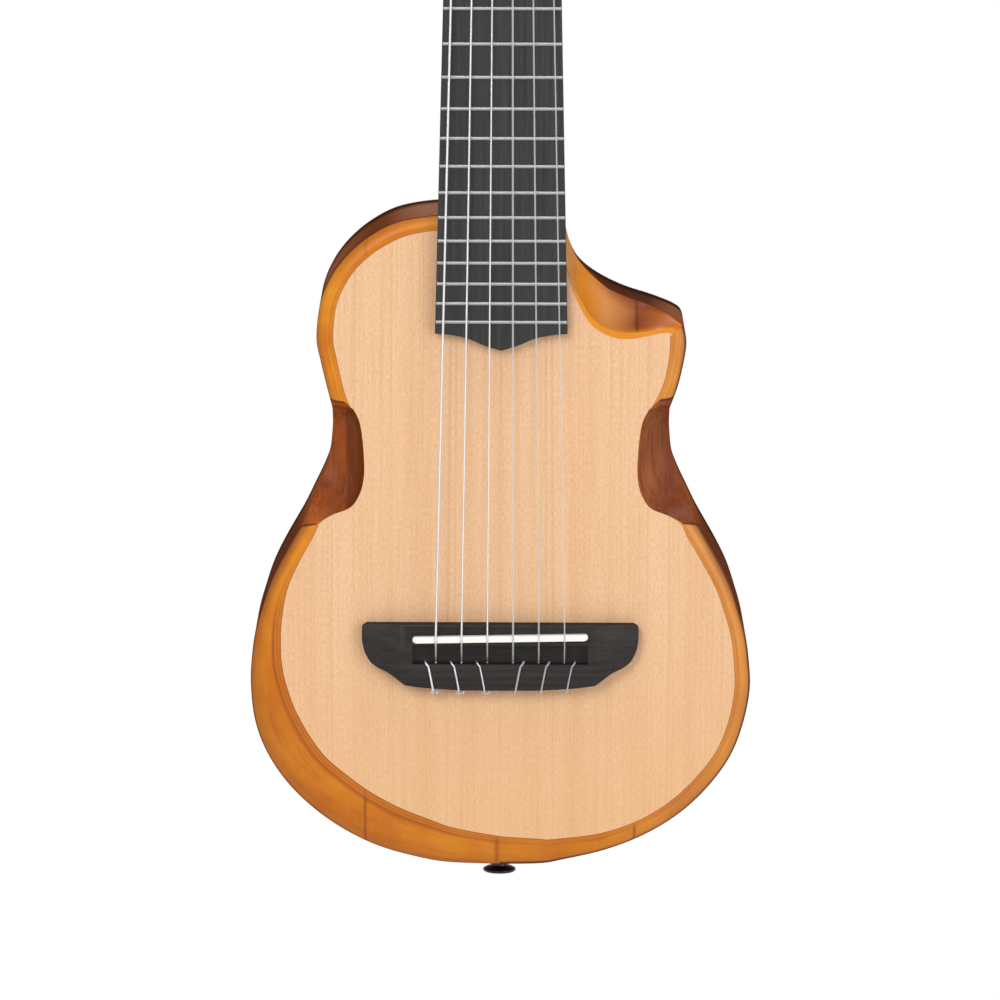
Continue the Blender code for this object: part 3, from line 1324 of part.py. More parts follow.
def nearest_hole_angle(angle, side):
    """The next mouth of the post's hole, which runs along x, in the direction of the turns."""
    if side > 0:
        return math.floor((angle - 0.5) / math.pi) * math.pi
    return math.ceil((angle + 0.5) / math.pi) * math.pi


def least_gap(route, radius):
    """The least gap between stretches of a tube that lie further apart along it than SAME_STRETCH."""
    corners = numpy.array([tuple(point) for point in route])
    spans = numpy.linalg.norm(numpy.diff(corners, axis=0), axis=1)
    along = numpy.concatenate(([0.0], numpy.cumsum(spans)))
    places = numpy.arange(0.0, along[-1], GAP_SAMPLE)
    samples = numpy.stack([numpy.interp(places, along, corners[:, axis]) for axis in range(3)], axis=1)
    distance = numpy.linalg.norm(samples[:, None, :] - samples[None, :, :], axis=2)
    apart = numpy.abs(places[:, None] - places[None, :]) > SAME_STRETCH
    return distance[apart].min() - 2.0 * radius


def make_string(number):
    radius = STRING_DIAMETERS[number - 1] / 2.0
    curve = bpy.data.curves.new("string_%d" % number, "CURVE")
    curve.dimensions = "3D"
    curve.bevel_depth = radius
    curve.bevel_resolution = 1
    curve.use_fill_caps = True
    spline = curve.splines.new("POLY")
    route = string_route(number)
    print("string_%d: least gap to itself %.2f mm" % (number, least_gap(route, radius) * 1000.0))
    spline.points.add(len(route) - 1)
    for point, place in zip(spline.points, route):
        point.co = (*place, 1.0)
    item = bpy.data.objects.new("string_%d" % number, curve)
    parts.objects.link(item)
    curve.materials.append(materials["nylon" if number <= 3 else "wound_string"])


side_bass, side_treble, tail_block = make_body()
make_bracing()
neck = make_neck()
make_heel_cap()
make_fretboard()
frame = head_frame()
veneer = make_veneer(frame)
drill_posts(frame, (neck, veneer))
make_tuners(frame)
make_nut()
make_bridge()
saddle_solid("saddle", 0.0, "bone", parts)
make_end_pin((side_bass, side_treble, tail_block))
for string_number in range(1, 7):
    make_string(string_number)
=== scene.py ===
"""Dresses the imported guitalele: finer wood, frets, strings and tuners, with procedural materials."""
import math

import bmesh
import bpy
from mathutils import Matrix, Vector


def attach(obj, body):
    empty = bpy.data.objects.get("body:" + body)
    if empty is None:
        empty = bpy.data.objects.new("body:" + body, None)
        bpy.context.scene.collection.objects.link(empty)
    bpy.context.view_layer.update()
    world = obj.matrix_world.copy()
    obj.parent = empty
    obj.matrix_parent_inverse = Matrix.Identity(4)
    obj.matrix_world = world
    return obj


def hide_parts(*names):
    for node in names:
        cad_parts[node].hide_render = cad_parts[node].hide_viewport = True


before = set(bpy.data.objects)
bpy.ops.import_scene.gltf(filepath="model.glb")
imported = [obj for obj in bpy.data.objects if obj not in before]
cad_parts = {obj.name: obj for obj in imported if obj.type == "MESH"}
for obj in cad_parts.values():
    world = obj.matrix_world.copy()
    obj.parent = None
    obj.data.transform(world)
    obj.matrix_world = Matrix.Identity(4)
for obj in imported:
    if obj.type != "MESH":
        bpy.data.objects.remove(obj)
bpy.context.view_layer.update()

# Scale and strings, in metres and as in the CAD, but for the frets, which are 0.1 mm narrower
SCALE_LENGTH = 0.433
FRET_COUNT = 19
JOINT_FRET = 14
NUT_WIDTH = 0.0480
NUT_THICKNESS = 0.005
NUT_HEIGHT = 0.0092
NUT_SPREAD = 0.0410
SADDLE_SPREAD = 0.0595
STRING_DIAMETERS = (0.0007, 0.0008, 0.00095, 0.0008, 0.00095, 0.0011)
STRING_NUMBERS = range(1, 7)
GLUE = 0.0002
CLEAR = 0.0003
FRET_HEIGHT = 0.0010
FRET_WIDTH = 0.0019
BOARD_THICKNESS = 0.0060
BOARD_END_WIDTH = 0.0610
BOARD_PAST_LAST_FRET = 0.0050
BOARD_POINT = 0.0082

# Body, as in the CAD
UPPER_HALF = 0.0854
WAIST_HALF = 0.0780
LOWER_HALF = 0.1160
UPPER_DOWN = 0.0580
WAIST_DOWN = 0.1030
LOWER_DOWN = 0.2220
BODY_LENGTH = 0.3060
CUTAWAY_INNER = 0.0296
HORN_DOWN = 0.0600
BODY_DEPTH_NECK = 0.0660
BODY_DEPTH_TAIL = 0.0720
EDGE_WIDTH = 0.0070
EDGE_LIP = 0.0015
EDGE_DEPTH = 0.0055
ARM_BEVEL_WIDTH = 0.0248
ARM_BEVEL_LIP = 0.0035
ARM_BEVEL_DEPTH = 0.0160
SCOOP_WIDTH = 0.0172
SCOOP_DEPTH = 0.0250
CUTAWAY_WIDTH = 0.0158
CUTAWAY_LIP = 0.0026
CUTAWAY_DEPTH = 0.0240
EDGE_BELOW_BEVEL = 0.0015
TOP_THICKNESS = 0.0026
BACK_THICKNESS = 0.0030
SIDE_THICKNESS = 0.0024
PORT_HALF_LENGTH = 0.0210
PORT_HALF_DEPTH = 0.0120
PORT_DOWN = 0.0560
PORT_Y = 0.0320

# Neck and headstock, as in the CAD
NECK_DEPTH_NUT = 0.0135
NECK_DEPTH_HEEL = 0.0155
HEEL_SWEEP = 0.0400
HEEL_CAP_HALF_WIDTH = 0.0100
HEEL_CAP_LENGTH = 0.0160
HEEL_CAP_THICKNESS = 0.0030
HEAD_TILT = math.radians(12.0)
HEAD_THICKNESS = 0.0140
HEAD_LENGTH = 0.1410
HEAD_HALF = 0.0320
HEAD_TOP_HALF = 0.0295
VENEER_THICKNESS = 0.0016

# Tuners, as in the CAD
POST_FIRST = 0.0360
POST_SPACING = 0.0310
POST_X = 0.0210
POST_RADIUS = 0.0030
POST_TOP = 0.0132
FERRULE_RADIUS = 0.0040
FERRULE_FLANGE = 0.0058
FERRULE_FLANGE_THICKNESS = 0.0010
FERRULE_DEPTH = 0.0070
PLATE_THICKNESS = 0.0012
PLATE_HALF_WIDTH = 0.0078
GEAR_TEETH = 14
GEAR_RADIUS = 0.0060
GEAR_ROOT = 0.0048
GEAR_THICKNESS = 0.0030
GEAR_STANDOFF = 0.0015
WORM_RADIUS = 0.0026
WORM_ROOT = 0.0017
WORM_LENGTH = 0.0080
MESH_DEPTH = 0.0004
SHAFT_RADIUS = 0.0014
LUG_THICKNESS = 0.0012
LUG_HALF_WIDTH = 0.0032
BUTTON_GAP = 0.0040
BUTTON_LENGTH = 0.0130
BUTTON_HALF_WIDTH = 0.0088
BUTTON_HALF_THICKNESS = 0.0036
WINDING_TURNS = 2.0
WINDING_GAP = 0.00080
WINDING_START = 0.0032

# Bridge, saddle and end pin, as in the CAD but for what was measured again in the photograph: the bridge
# begins 1.2 mm lower, its tie block 1 mm lower, and the pin's head is 0.8 mm wider
BRIDGE_HALF = 0.0640
BRIDGE_HEIGHT = 0.0085
BRIDGE_ABOVE_SADDLE = 0.0060
BRIDGE_TAIL = 0.0250
BRIDGE_WING_HEIGHT = 0.0055
TIE_HALF = 0.0435
RECESS_DEPTH = 0.0055
TIE_BLOCK_FROM_SADDLE = 0.0125
TIE_HOLE_HEIGHT = 0.0046
SADDLE_LENGTH = 0.0812
SADDLE_THICKNESS = 0.0029
SADDLE_HEIGHT = 0.0119
SADDLE_SETBACK = 0.0025
SADDLE_SLANT = math.radians(1.0)
SADDLE_SLOT_DEPTH = 0.0050
PIN_Y = 0.0340
PIN_SHAFT_RADIUS = 0.0040
PIN_HEAD_RADIUS = 0.0078
PIN_LENGTH = 0.0086
PIN_SHAFT_LENGTH = 0.0220

# Details that the CAD leaves out
FRET_SUNK = 0.00015
FRET_BEAD = 0.0009
BACK_ROUNDING = 0.0015
POST_DOME = 0.0009
COLLAR_RADIUS = SHAFT_RADIUS + 0.0008
TIE_REACH = 0.0050

# Places that follow from the sizes
JOINT_Z = -SCALE_LENGTH * (1.0 - 2.0 ** (-JOINT_FRET / 12.0))
TAIL_Z = JOINT_Z - BODY_LENGTH
SADDLE_Z = -SCALE_LENGTH - SADDLE_SETBACK
TIE_BLOCK_Z = SADDLE_Z - TIE_BLOCK_FROM_SADDLE
BRIDGE_END_Z = SADDLE_Z - BRIDGE_TAIL
BACK_SLOPE = (BODY_DEPTH_TAIL - BODY_DEPTH_NECK) / BODY_LENGTH
BOARD_TOP = -(GLUE + BOARD_THICKNESS)
BOARD_END_Z = -SCALE_LENGTH * (1.0 - 2.0 ** (-FRET_COUNT / 12.0)) - BOARD_PAST_LAST_FRET
VENEER_FACE = GLUE + VENEER_THICKNESS
PLATE_BACK = HEAD_THICKNESS + GLUE + PLATE_THICKNESS
GEAR_FRONT = PLATE_BACK + GEAR_STANDOFF
GEAR_MIDDLE = GEAR_FRONT + GEAR_THICKNESS / 2.0
GEAR_BACK = -GEAR_FRONT - GEAR_THICKNESS
WORM_DISTANCE = GEAR_RADIUS + WORM_RADIUS - MESH_DEPTH
WORM_PITCH = 2.0 * math.pi * (GEAR_RADIUS - MESH_DEPTH / 2.0) / GEAR_TEETH
NUT_SLOT_Y = BOARD_TOP - FRET_HEIGHT - 0.0009
SADDLE_TOP = -(GLUE + SADDLE_HEIGHT)
BRIDGE_TOP = -(GLUE + BRIDGE_HEIGHT)

# How finely curves are divided
STEPS = 6
EDGE_STEPS = 14
NECK_SIDES = 36
WORM_SIDES = 40
WORM_STEPS = 60
BUTTON_SIDES = 48
BUTTON_STEPS = 24
TURN_STEPS = 28

# Looks
SOFT_WORLD = 0.38
COAT_ROUGHNESS = 0.1
SATIN_FULL = 0.15
SATIN_FAINT = 0.70
CENTRE_JOINT = 0.0005
RIM_SEAM_X = 0.0626
RIM_SEAM = 0.0020
TAIL_SEAM_BASS = 0.0012
WOUND_WIRE = 0.00042
# The duller tan where the cutaway meets the fretboard: painted shade
CUTAWAY_ROOT_SHADE = (206, 150, 98)

QUARTER = math.pi / 2.0
FORWARD = Matrix.Rotation(QUARTER, 4, "X")


# Small helpers

def linked(name, data):
    """A new object of the scene."""
    item = bpy.data.objects.new(name, data)
    bpy.context.scene.collection.objects.link(item)
    return item


def polar(radius, angle):
    return radius * math.cos(angle), radius * math.sin(angle)


def circle(count):
    """Angles all the way round."""
    return [2.0 * math.pi * k / count for k in range(count)]


def arc(sweep, steps):
    """Angles from 0 to a sweep, both ends included."""
    return [sweep * k / steps for k in range(steps + 1)]


# Camera and light

def make_camera():
    data = bpy.data.cameras.new("camera")
    data.lens = 272.71
    data.sensor_width = 36.0
    data.clip_end = 20.0
    camera = linked("camera", data)
    target = Vector((-0.00032, 0.0, -0.372286))
    elevation = math.radians(9.4)
    away = Vector((0.0, -math.cos(elevation), math.sin(elevation)))
    camera.location = target + away * 3.5
    camera.rotation_euler = (-away).to_track_quat("-Z", "Y").to_euler()
    roll = Matrix.Rotation(math.radians(0.2), 4, "Z")
    turn = camera.rotation_euler.to_matrix().to_4x4() @ roll
    camera.matrix_world = Matrix.Translation(camera.location) @ turn
    bpy.context.scene.camera = camera


def area_light(name, place, target, size, power):
    data = bpy.data.lights.new(name, "AREA")
    data.shape = "DISK"
    data.size = size
    data.energy = power
    lamp = linked(name, data)
    lamp.location = place
    lamp.rotation_euler = (Vector(target) - Vector(place)).to_track_quat("-Z", "Y").to_euler()


def make_light():
    middle = (0.0, 0.0, -0.35)
    area_light("key", (-0.9, -2.2, 0.9), middle, 1.4, 31.0)
    area_light("fill", (1.6, -1.9, 0.1), middle, 1.6, 18.5)
    area_light("top", (0.2, -0.3, 1.9), middle, 1.2, 13.0)
    area_light("behind", (0.3, 2.2, 0.8), middle, 1.6, 24.0)
    world = bpy.data.worlds.new("studio")
    bpy.context.scene.world = world
    world.use_nodes = True
    tree = world.node_tree
    tree.nodes.clear()
    out = tree.nodes.new("ShaderNodeOutputWorld")
    mix = tree.nodes.new("ShaderNodeMixShader")
    tree.links.new(seen_directly(tree), mix.inputs["Fac"])
    for strength, place in ((SOFT_WORLD, 1), (1.0, 2)):
        background = tree.nodes.new("ShaderNodeBackground")
        background.inputs["Color"].default_value = (1.0, 1.0, 1.0, 1.0)
        background.inputs["Strength"].default_value = strength
        tree.links.new(background.outputs[0], mix.inputs[place])
    tree.links.new(mix.outputs[0], out.inputs["Surface"])


def seen_directly(tree):
    """1 for camera, glossy and transmission rays, for which the background is white."""
    path = tree.nodes.new("ShaderNodeLightPath")
    share = path.outputs["Is Camera Ray"]
    for kind in ("Is Glossy Ray", "Is Transmission Ray"):
        most = tree.nodes.new("ShaderNodeMath")
        most.operation = "MAXIMUM"
        tree.links.new(share, most.inputs[0])
        tree.links.new(path.outputs[kind], most.inputs[1])
        share = most.outputs[0]
    return share


def make_floor():
    mesh = bpy.data.meshes.new("floor")
    reach, z = 4.0, TAIL_Z - 0.45
    corners = [(-reach, -reach, z), (reach, -reach, z), (reach, reach, z), (-reach, reach, z)]
    mesh.from_pydata(corners, [], [(0, 1, 2, 3)])
    floor = linked("floor", mesh)
    material = bpy.data.materials.new("floor")
    material.use_nodes = True
    tree = material.node_tree
    shader = tree.nodes["Principled BSDF"]
    shader.inputs["Base Color"].default_value = (0.8, 0.8, 0.8, 1.0)
    shader.inputs["Roughness"].default_value = 0.8
    glow = tree.nodes.new("ShaderNodeEmission")
    mix = tree.nodes.new("ShaderNodeMixShader")
    tree.links.new(seen_directly(tree), mix.inputs["Fac"])
    tree.links.new(shader.outputs[0], mix.inputs[1])
    tree.links.new(glow.outputs[0], mix.inputs[2])
    tree.links.new(mix.outputs[0], tree.nodes["Material Output"].inputs["Surface"])
    mesh.materials.append(material)


# Materials

def srgb(*values):
    """A colour in linear numbers from its 0-255 screen values."""
    linear = [((v / 255.0 + 0.055) / 1.055) ** 2.4 if v > 10 else v / 255.0 / 12.92 for v in values]
    return (*linear, 1.0)


def scaled(colour, change):
    """A colour made darker or lighter."""
    red, green, blue, opaque = colour
    return (*[min(1.0, v * change) for v in (red, green, blue)], opaque)


def formula(operation, swapped=False):
    """A method of Value that writes one sum as a math node."""
    def write(self, other=0.0):
        first, second = (other, self) if swapped else (self, other)
        return self.finish.math(operation, first, second)
    return write


class Value:
    """A node's output. Sums written with it become math nodes."""

    def __init__(self, finish, socket):
        self.finish = finish
        self.socket = socket

    __abs__ = formula("ABSOLUTE")
    __add__ = formula("ADD")
    __sub__ = formula("SUBTRACT")
    __rsub__ = formula("SUBTRACT", swapped=True)
    __mul__ = formula("MULTIPLY")
    __truediv__ = formula("DIVIDE")


class Finish:
    """A node material under construction. Its colour is laid on in layers."""

    def __init__(self, name, roughness, metallic=0.0, coat=0.0, specular=0.5):
        self.material = bpy.data.materials.new(name)
        self.material.use_nodes = True
        self.tree = self.material.node_tree
        self.shader = self.tree.nodes["Principled BSDF"]
        self.layer = None
        for socket, value in (("Roughness", roughness), ("Metallic", metallic), ("Coat Weight", coat),
                              ("Coat Roughness", COAT_ROUGHNESS), ("Specular IOR Level", specular)):
            self.shader.inputs[socket].default_value = value

    def node(self, kind, inputs=(), output=0, **settings):
        """Add a node, fill its inputs and give back one of its outputs."""
        item = self.tree.nodes.new("ShaderNode" + kind)
        for key, value in settings.items():
            setattr(item, key, value)
        for key, value in inputs:
            self.put(item.inputs[key], value)
        return Value(self, item.outputs[output])

    def put(self, socket, value):
        if isinstance(value, Value):
            self.tree.links.new(value.socket, socket)
        else:
            socket.default_value = value

    def math(self, operation, a, b=0.0, clamp=False):
        return self.node("Math", enumerate((a, b)), operation=operation, use_clamp=clamp)

    def place(self):
        """The point's own place, in metres."""
        return self.node("TexCoord", output="Object")

    def split(self, vector):
        return [self.node("SeparateXYZ", [(0, vector)], output) for output in range(3)]

    def rim(self):
        """The place on the carved edge: 0 to 1 across the lip, 1 to 2 over the bevel; metres along it."""
        return self.split(self.node("UVMap", uv_map="rim"))[:2]

    def noise(self, place, detail=2.0, roughness=0.5, distortion=0.0):
        """Noise over a place given as three values."""
        vector = self.node("CombineXYZ", enumerate(place))
        return self.noise_at(vector, detail, roughness, distortion)

    def grain(self, scale, detail=2.0, roughness=0.5, distortion=0.0):
        """Noise over the point's own place, as many to the metre along each axis as scale says."""
        vector = self.node("Mapping", [("Vector", self.place()), ("Scale", scale)])
        return self.noise_at(vector, detail, roughness, distortion)

    def noise_at(self, vector, detail, roughness, distortion):
        return self.node("TexNoise", [("Vector", vector), ("Scale", 1.0), ("Detail", detail),
                                      ("Roughness", roughness), ("Distortion", distortion)], "Fac")

    def spread(self, value, start, end, low, high):
        """From low to high while value goes from start to end."""
        return self.node("MapRange", [("Value", value), ("From Min", start), ("From Max", end),
                                      ("To Min", low), ("To Max", high)])

    def band(self, value, low, high, soft):
        """1 where value lies between low and high, with soft ends."""
        return self.spread(value, low - soft, low, 0.0, 1.0) * self.spread(value, high, high + soft, 1.0, 0.0)

    def ramp(self, value, *stops):
        item = self.tree.nodes.new("ShaderNodeValToRGB")
        elements = item.color_ramp.elements
        while len(elements) < len(stops):
            elements.new(0.5)
        for element, (at, colour) in zip(elements, stops):
            element.position = at
            element.color = colour
        self.put(item.inputs["Fac"], value)
        return Value(self, item.outputs["Color"])

    def change(self, value, start, end, first, last):
        """A share that goes from first to last while value goes from start to end."""
        return self.ramp(value, (start, (first, first, first, 1.0)), (end, (last, last, last, 1.0)))

    def rise(self, value, start, end, most=1.0):
        return self.change(value, start, end, 0.0, most)

    def fall(self, value, start, end, most=1.0):
        return self.change(value, start, end, most, 0.0)

    def mix(self, share, a, b):
        return self.node("Mix", [("Factor", share), (6, a), (7, b)], 2, data_type="RGBA", blend_type="MIX")

    def tint(self, share, *colour):
        """Lay a colour over the layers so far, by a share."""
        self.layer = self.mix(share, self.layer, srgb(*colour))

    def satin(self, facing, grazing=0.0, dull=0.0):
        """A satin gloss, full where the surface faces the eye and faint where it turns away or is dull."""
        facing_share = self.node("LayerWeight", output="Facing")
        gloss = self.spread(facing_share, SATIN_FULL, SATIN_FAINT, facing, grazing)
        self.put(self.shader.inputs["Specular IOR Level"], gloss * self.math("SUBTRACT", 1.0, dull))

    def done(self, height, strength, distance=0.0001, polish=None, low=0.0, high=0.0):
        """Put the layers, the polish and the bumps on the shader, and give back the material."""
        self.put(self.shader.inputs["Base Color"], self.layer)
        if polish:
            self.put(self.shader.inputs["Roughness"], self.spread(polish, 0.0, 1.0, low, high))
        bumps = self.node("Bump", [("Strength", strength), ("Distance", distance), ("Height", height)])
        self.put(self.shader.inputs["Normal"], bumps)
        return self.material


def make_spruce():
    """Straight, fine, bookmatched grain of uneven spacing, with faint rays across it and flecks."""
    f = Finish("spruce_top", 0.46, specular=0.3)
    x, _, z = f.split(f.place())
    half = abs(x)
    wander = f.noise((half * 30.0, 0.0, z * 3.0))
    bent = half + wander * 0.0050
    lines = f.noise((bent * 620.0, 0.0, z * 2.2), 1.0, 0.4)
    fine = f.noise((bent * 2100.0, 0.0, z * 24.0), 2.0, 0.6)
    broad = f.noise((bent * 95.0, 0.0, z * 4.0), 3.0, 0.55)
    rays = f.noise((x * 420.0, 0.0, z * 1500.0))
    flecks = f.noise((x * 1500.0, 0.0, z * 500.0), 1.0)
    f.layer = f.mix(f.rise(broad, 0.34, 0.68), srgb(236, 193, 153), srgb(229, 182, 139))
    f.tint(f.rise(lines, 0.52, 0.68, 0.40), 214, 160, 112)
    f.tint(f.rise(fine, 0.48, 0.74, 0.50), 216, 164, 116)
    f.tint(f.rise(rays, 0.55, 0.75, 0.22), 243, 207, 170)
    f.tint(f.rise(flecks, 0.50, 0.75, 0.45), 208, 158, 110)
    f.tint(f.fall(flecks, 0.25, 0.46, 0.35), 246, 212, 172)
    f.tint(f.rise((z + 0.40) / -0.14, 0.1, 1.0, 0.38), 222, 168, 108)
    f.tint(f.fall(half / CENTRE_JOINT, 0.2, 0.6, 0.35), 214, 165, 120)
    return f.done(lines + fine, 0.04, polish=fine, low=0.40, high=0.52)


def make_rim_wood(name, scoop, hollow_shading, outline):
    """Amber rim wood: silky streaks, a strip beside the soundboard and seams; brown between the scoop's ends.
    Painted shade darkens the edge where it rounds away towards the outline, below the scoop and at the
    scoop's ends.

    The scoop's ends are lines across the rim: places along it at share 0, and their slants.
    """
    f = Finish(name, 0.30)
    share, along = f.rim()
    x, _, z = f.split(f.place())
    outward = share / 2.0
    lip = f.node("Attribute", output="Fac", attribute_name="lip")
    streaks = f.noise((share * 7.0, along * 24.0, 0.0), 4.0, 0.6, 0.4)
    cloud = f.grain((26.0, 60.0, 26.0), 3.0, 0.6)
    figure = f.grain((300.0, 0.0, 90.0))
    f.layer = f.mix(f.rise(cloud, 0.32, 0.66), srgb(226, 146, 34), srgb(200, 112, 16))
    f.tint(f.rise(streaks, 0.50, 0.74, 0.6), 176, 88, 14)
    f.tint(f.rise(figure, 0.55, 0.80, 0.20), 232, 160, 56)
    f.tint(f.rise(x / 0.12, 0.40, 0.75, 0.20), 232, 186, 128)
    f.tint(f.rise((z + 0.38) / -0.10, 0.1, 1.0, 0.24), 176, 84, 4)
    # Painted shade: darker where the rounded edge turns away, and darkest in a band at the outline
    f.tint(f.rise(outward, 0.70, 0.95, 0.50), 158, 72, 10)
    f.tint(f.rise(outward, outline, outline + 0.06, 0.85), 70, 32, 12)
    # Painted shade on the outer part of the edge just below the scoop's lower end
    shade_below_scoop = f.band(z, JOINT_Z - 0.172, JOINT_Z - 0.130, 0.020)
    f.tint(shade_below_scoop * f.rise(outward, 0.55, 0.95, 0.80), 100, 46, 22)
    f.tint(f.band(share, -0.1, 0.98, 0.03) * lip * 0.65, 186, 100, 28)
    scribe = (f.band(share, 0.92, 1.01, 0.06) + f.band(share, 0.48, 0.54, 0.08) * 0.5) * lip
    f.tint(scribe * 0.60, 136, 62, 18)
    f.tint(f.band(share, -0.1, 0.10, 0.10) * 0.60, 150, 84, 28)
    wobble = (f.grain((0.0, 0.0, 160.0)) - 0.5) * 0.0010
    seam = f.fall(abs(abs(x) - RIM_SEAM_X + wobble) / RIM_SEAM, 0.15, 0.50, 0.60)
    seam = seam * f.change(share - 0.5, 0.30, 0.50, 0.35, 1.0)
    f.tint(seam * f.change(z + 0.90, 0.56, 0.62, 1.0, 0.40), 128, 56, 18)
    wedge = f.fall(abs(x + TAIL_SEAM_BASS) / RIM_SEAM, 0.15, 0.80, 0.55)
    f.tint(wedge * f.change(share, 0.5, 1.0, 0.4, 1.0), 138, 62, 18)
    # Painted shade: a dark band at the scoop's ends, and darker wood at its lower end
    brown, line, shaded_tip = scoop_places(f, share, along, scoop)
    wood = f.mix(f.fall(shaded_tip, 0.0, 1.0, 0.90), scoop_wood(f, hollow_shading, x), srgb(88, 36, 18))
    f.layer = f.mix(brown, f.layer, wood)
    f.tint(line, 66, 26, 10)
    f.satin(0.26, 0.0, f.math("MAXIMUM", brown, line) * 0.65)
    return f.done(streaks * 0.3 - scribe, 0.20, 0.0002, streaks, 0.28, 0.40)


def scoop_places(f, share, along, scoop):
    """Shares of brown, of the painted shade line at its ends, and of the way in from its lower end, where
    painted shade darkens it.
    """
    first, first_slant, last, last_slant = scoop
    near = along - share * first_slant - first
    far = share * last_slant - along + last
    inside = f.math("MINIMUM", near, far)
    brown = f.rise(inside / 0.0010 + 0.5, 0.3, 0.7)
    line = f.fall(abs(inside) / 0.0012, 0.25, 0.8, 0.8)
    shaded_tip = f.math("ADD", far / 0.0300, share * 2.0, clamp=True)
    return brown, line, shaded_tip


def scoop_wood(f, hollow_shading, x):
    """Brown with streaks along the strings, with painted light and shade: a lighter and a darker tone for the
    hollow's wall and floor, and how they meet.
    """
    wall, floor, edge, soft = hollow_shading
    streaks = f.grain((620.0, 300.0, 38.0), 3.0, 0.6, 0.2)
    cloud = f.grain((90.0, 20.0, 55.0))
    bent = abs(x) + (cloud - 0.5) * 0.0022
    outward = f.math("ADD", (bent - edge) / soft, 0.5, clamp=True)
    colour = f.mix(f.rise(cloud, 0.40, 0.66, 0.55), f.mix(outward, wall, floor), srgb(136, 78, 48))
    return f.mix(f.rise(streaks, 0.46, 0.72, 0.55), colour, srgb(92, 40, 18))


def make_side_wood():
    """Glossy brown sides: a painted sheen makes them greyer beside the neck; darkest at the shoulder; painted
    shade darkens them at the back's edge.
    """
    f = Finish("side_brown", 0.30)
    f.satin(0.30)
    share, along = f.rim()
    x, y, z = f.split(f.place())
    streaks = f.noise((share * 4.0, along * 9.0, 0.0), 4.0, 0.6, 0.5)
    pores = f.noise((share * 90.0, along * 420.0, 0.0), 2.0, 0.6)
    f.layer = f.ramp(streaks, (0.30, srgb(112, 60, 34)), (0.50, srgb(140, 84, 54)),
                     (0.72, srgb(160, 102, 68)))
    f.tint(f.fall(abs(x + 0.058) / 0.022, 0.1, 1.0, 0.66), 92, 42, 20)
    # Painted sheen: lighter and greyer beside the neck
    f.tint(f.band(x, -0.036, -0.02, 0.016) * f.band(z, JOINT_Z - 0.03, 0.0, 0.01) * 0.60, 168, 122, 98)
    f.tint(f.band(x, 0.046, 0.068, 0.012) * 0.85, 70, 34, 26)
    f.tint(f.band(z, JOINT_Z - 0.145, JOINT_Z - 0.090, 0.012) * 0.7, 160, 84, 40)
    f.tint(f.band(z, JOINT_Z - 0.205, JOINT_Z - 0.150, 0.014) * 0.7, 84, 40, 24)
    # Painted shade: darker towards the back's edge
    f.tint(f.rise((y + z * 0.0196) / BODY_DEPTH_NECK, 0.64, 0.80, 0.95), 46, 22, 15)
    f.tint(f.rise(pores, 0.60, 0.80, 0.3), 86, 44, 26)
    cutaway_root = f.rise((0.1328 - x * 2.15 - y) / 0.0060, 0.0, 1.0)
    cutaway_root = cutaway_root * (f.band(x, 0.026, 0.060, 0.002) * f.band(z, JOINT_Z - 0.05, 0.0, 0.01))
    # Beside the fretboard the amber turns to a duller tan: painted shade
    amber = f.mix(f.fall(x, 0.031, 0.037, 0.8), srgb(226, 142, 50), srgb(*CUTAWAY_ROOT_SHADE))
    f.layer = f.mix(cutaway_root, f.layer, amber)
    return f.done(pores, 0.08, polish=streaks, low=0.24, high=0.36)


def make_cutaway_wood():
    """Amber that turns brown across the hollow, redder past the seam, with painted shade beside the fretboard
    and at the hollow's outer edge.
    """
    f = Finish("cutaway_amber", 0.34)
    f.satin(0.12)
    share, along = f.rim()
    x = f.split(f.place())[0]
    outward = share / 2.0
    streaks = f.noise((share * 5.0, along * 26.0, 0.0), 4.0, 0.6, 0.4)
    lip = f.mix(f.rise(streaks, 0.30, 0.70), srgb(234, 152, 52), srgb(212, 124, 32))
    across = x + (streaks - 0.5) * 0.006
    hollow = f.ramp(across / 0.09, (0.42, srgb(228, 142, 30)), (0.54, srgb(208, 142, 82)),
                    (0.67, srgb(160, 92, 42)), (0.71, srgb(134, 70, 36)), (0.84, srgb(184, 100, 38)),
                    (0.92, srgb(200, 112, 34)))
    shade = f.rise(outward, 0.90, 0.99, 0.60) * f.rise(x, 0.042, 0.052)
    hollow = f.mix(shade, hollow, srgb(112, 58, 32))
    down = f.rise(outward, 0.50, 0.64)
    f.layer = f.mix(down, lip, hollow)
    # Painted shade: a duller tan beside the fretboard
    f.tint(f.fall(x, 0.031, 0.037, 0.8), *CUTAWAY_ROOT_SHADE)
    f.tint(f.fall(abs(x - RIM_SEAM_X) / RIM_SEAM, 0.2, 0.6, 0.7) * down, 104, 46, 22)
    return f.done(streaks, 0.06, polish=streaks, low=0.26, high=0.38)


def make_straight_wood(name, dark, light, across, along_axis, roughness=0.4, gloss=0.45, pore=0.35):
    """Wood whose grain runs along one axis of the instrument."""
    f = Finish(name, roughness)
    f.satin(gloss, gloss * 0.05)
    scale = [across, across, across]
    scale["xyz".index(along_axis)] = across / 40.0
    streaks = f.grain(scale, 4.0, 0.6, 0.3)
    fine = f.grain([v * 6.0 for v in scale], 2.0, 0.6)
    f.layer = f.mix(f.rise(streaks, 0.30, 0.70), srgb(*dark), srgb(*light))
    f.layer = f.mix(f.rise(fine, 0.50, 0.78, pore), f.layer, scaled(srgb(*dark), 0.5))
    return f.done(streaks + fine, 0.12, polish=fine, low=roughness - 0.06, high=roughness + 0.08)


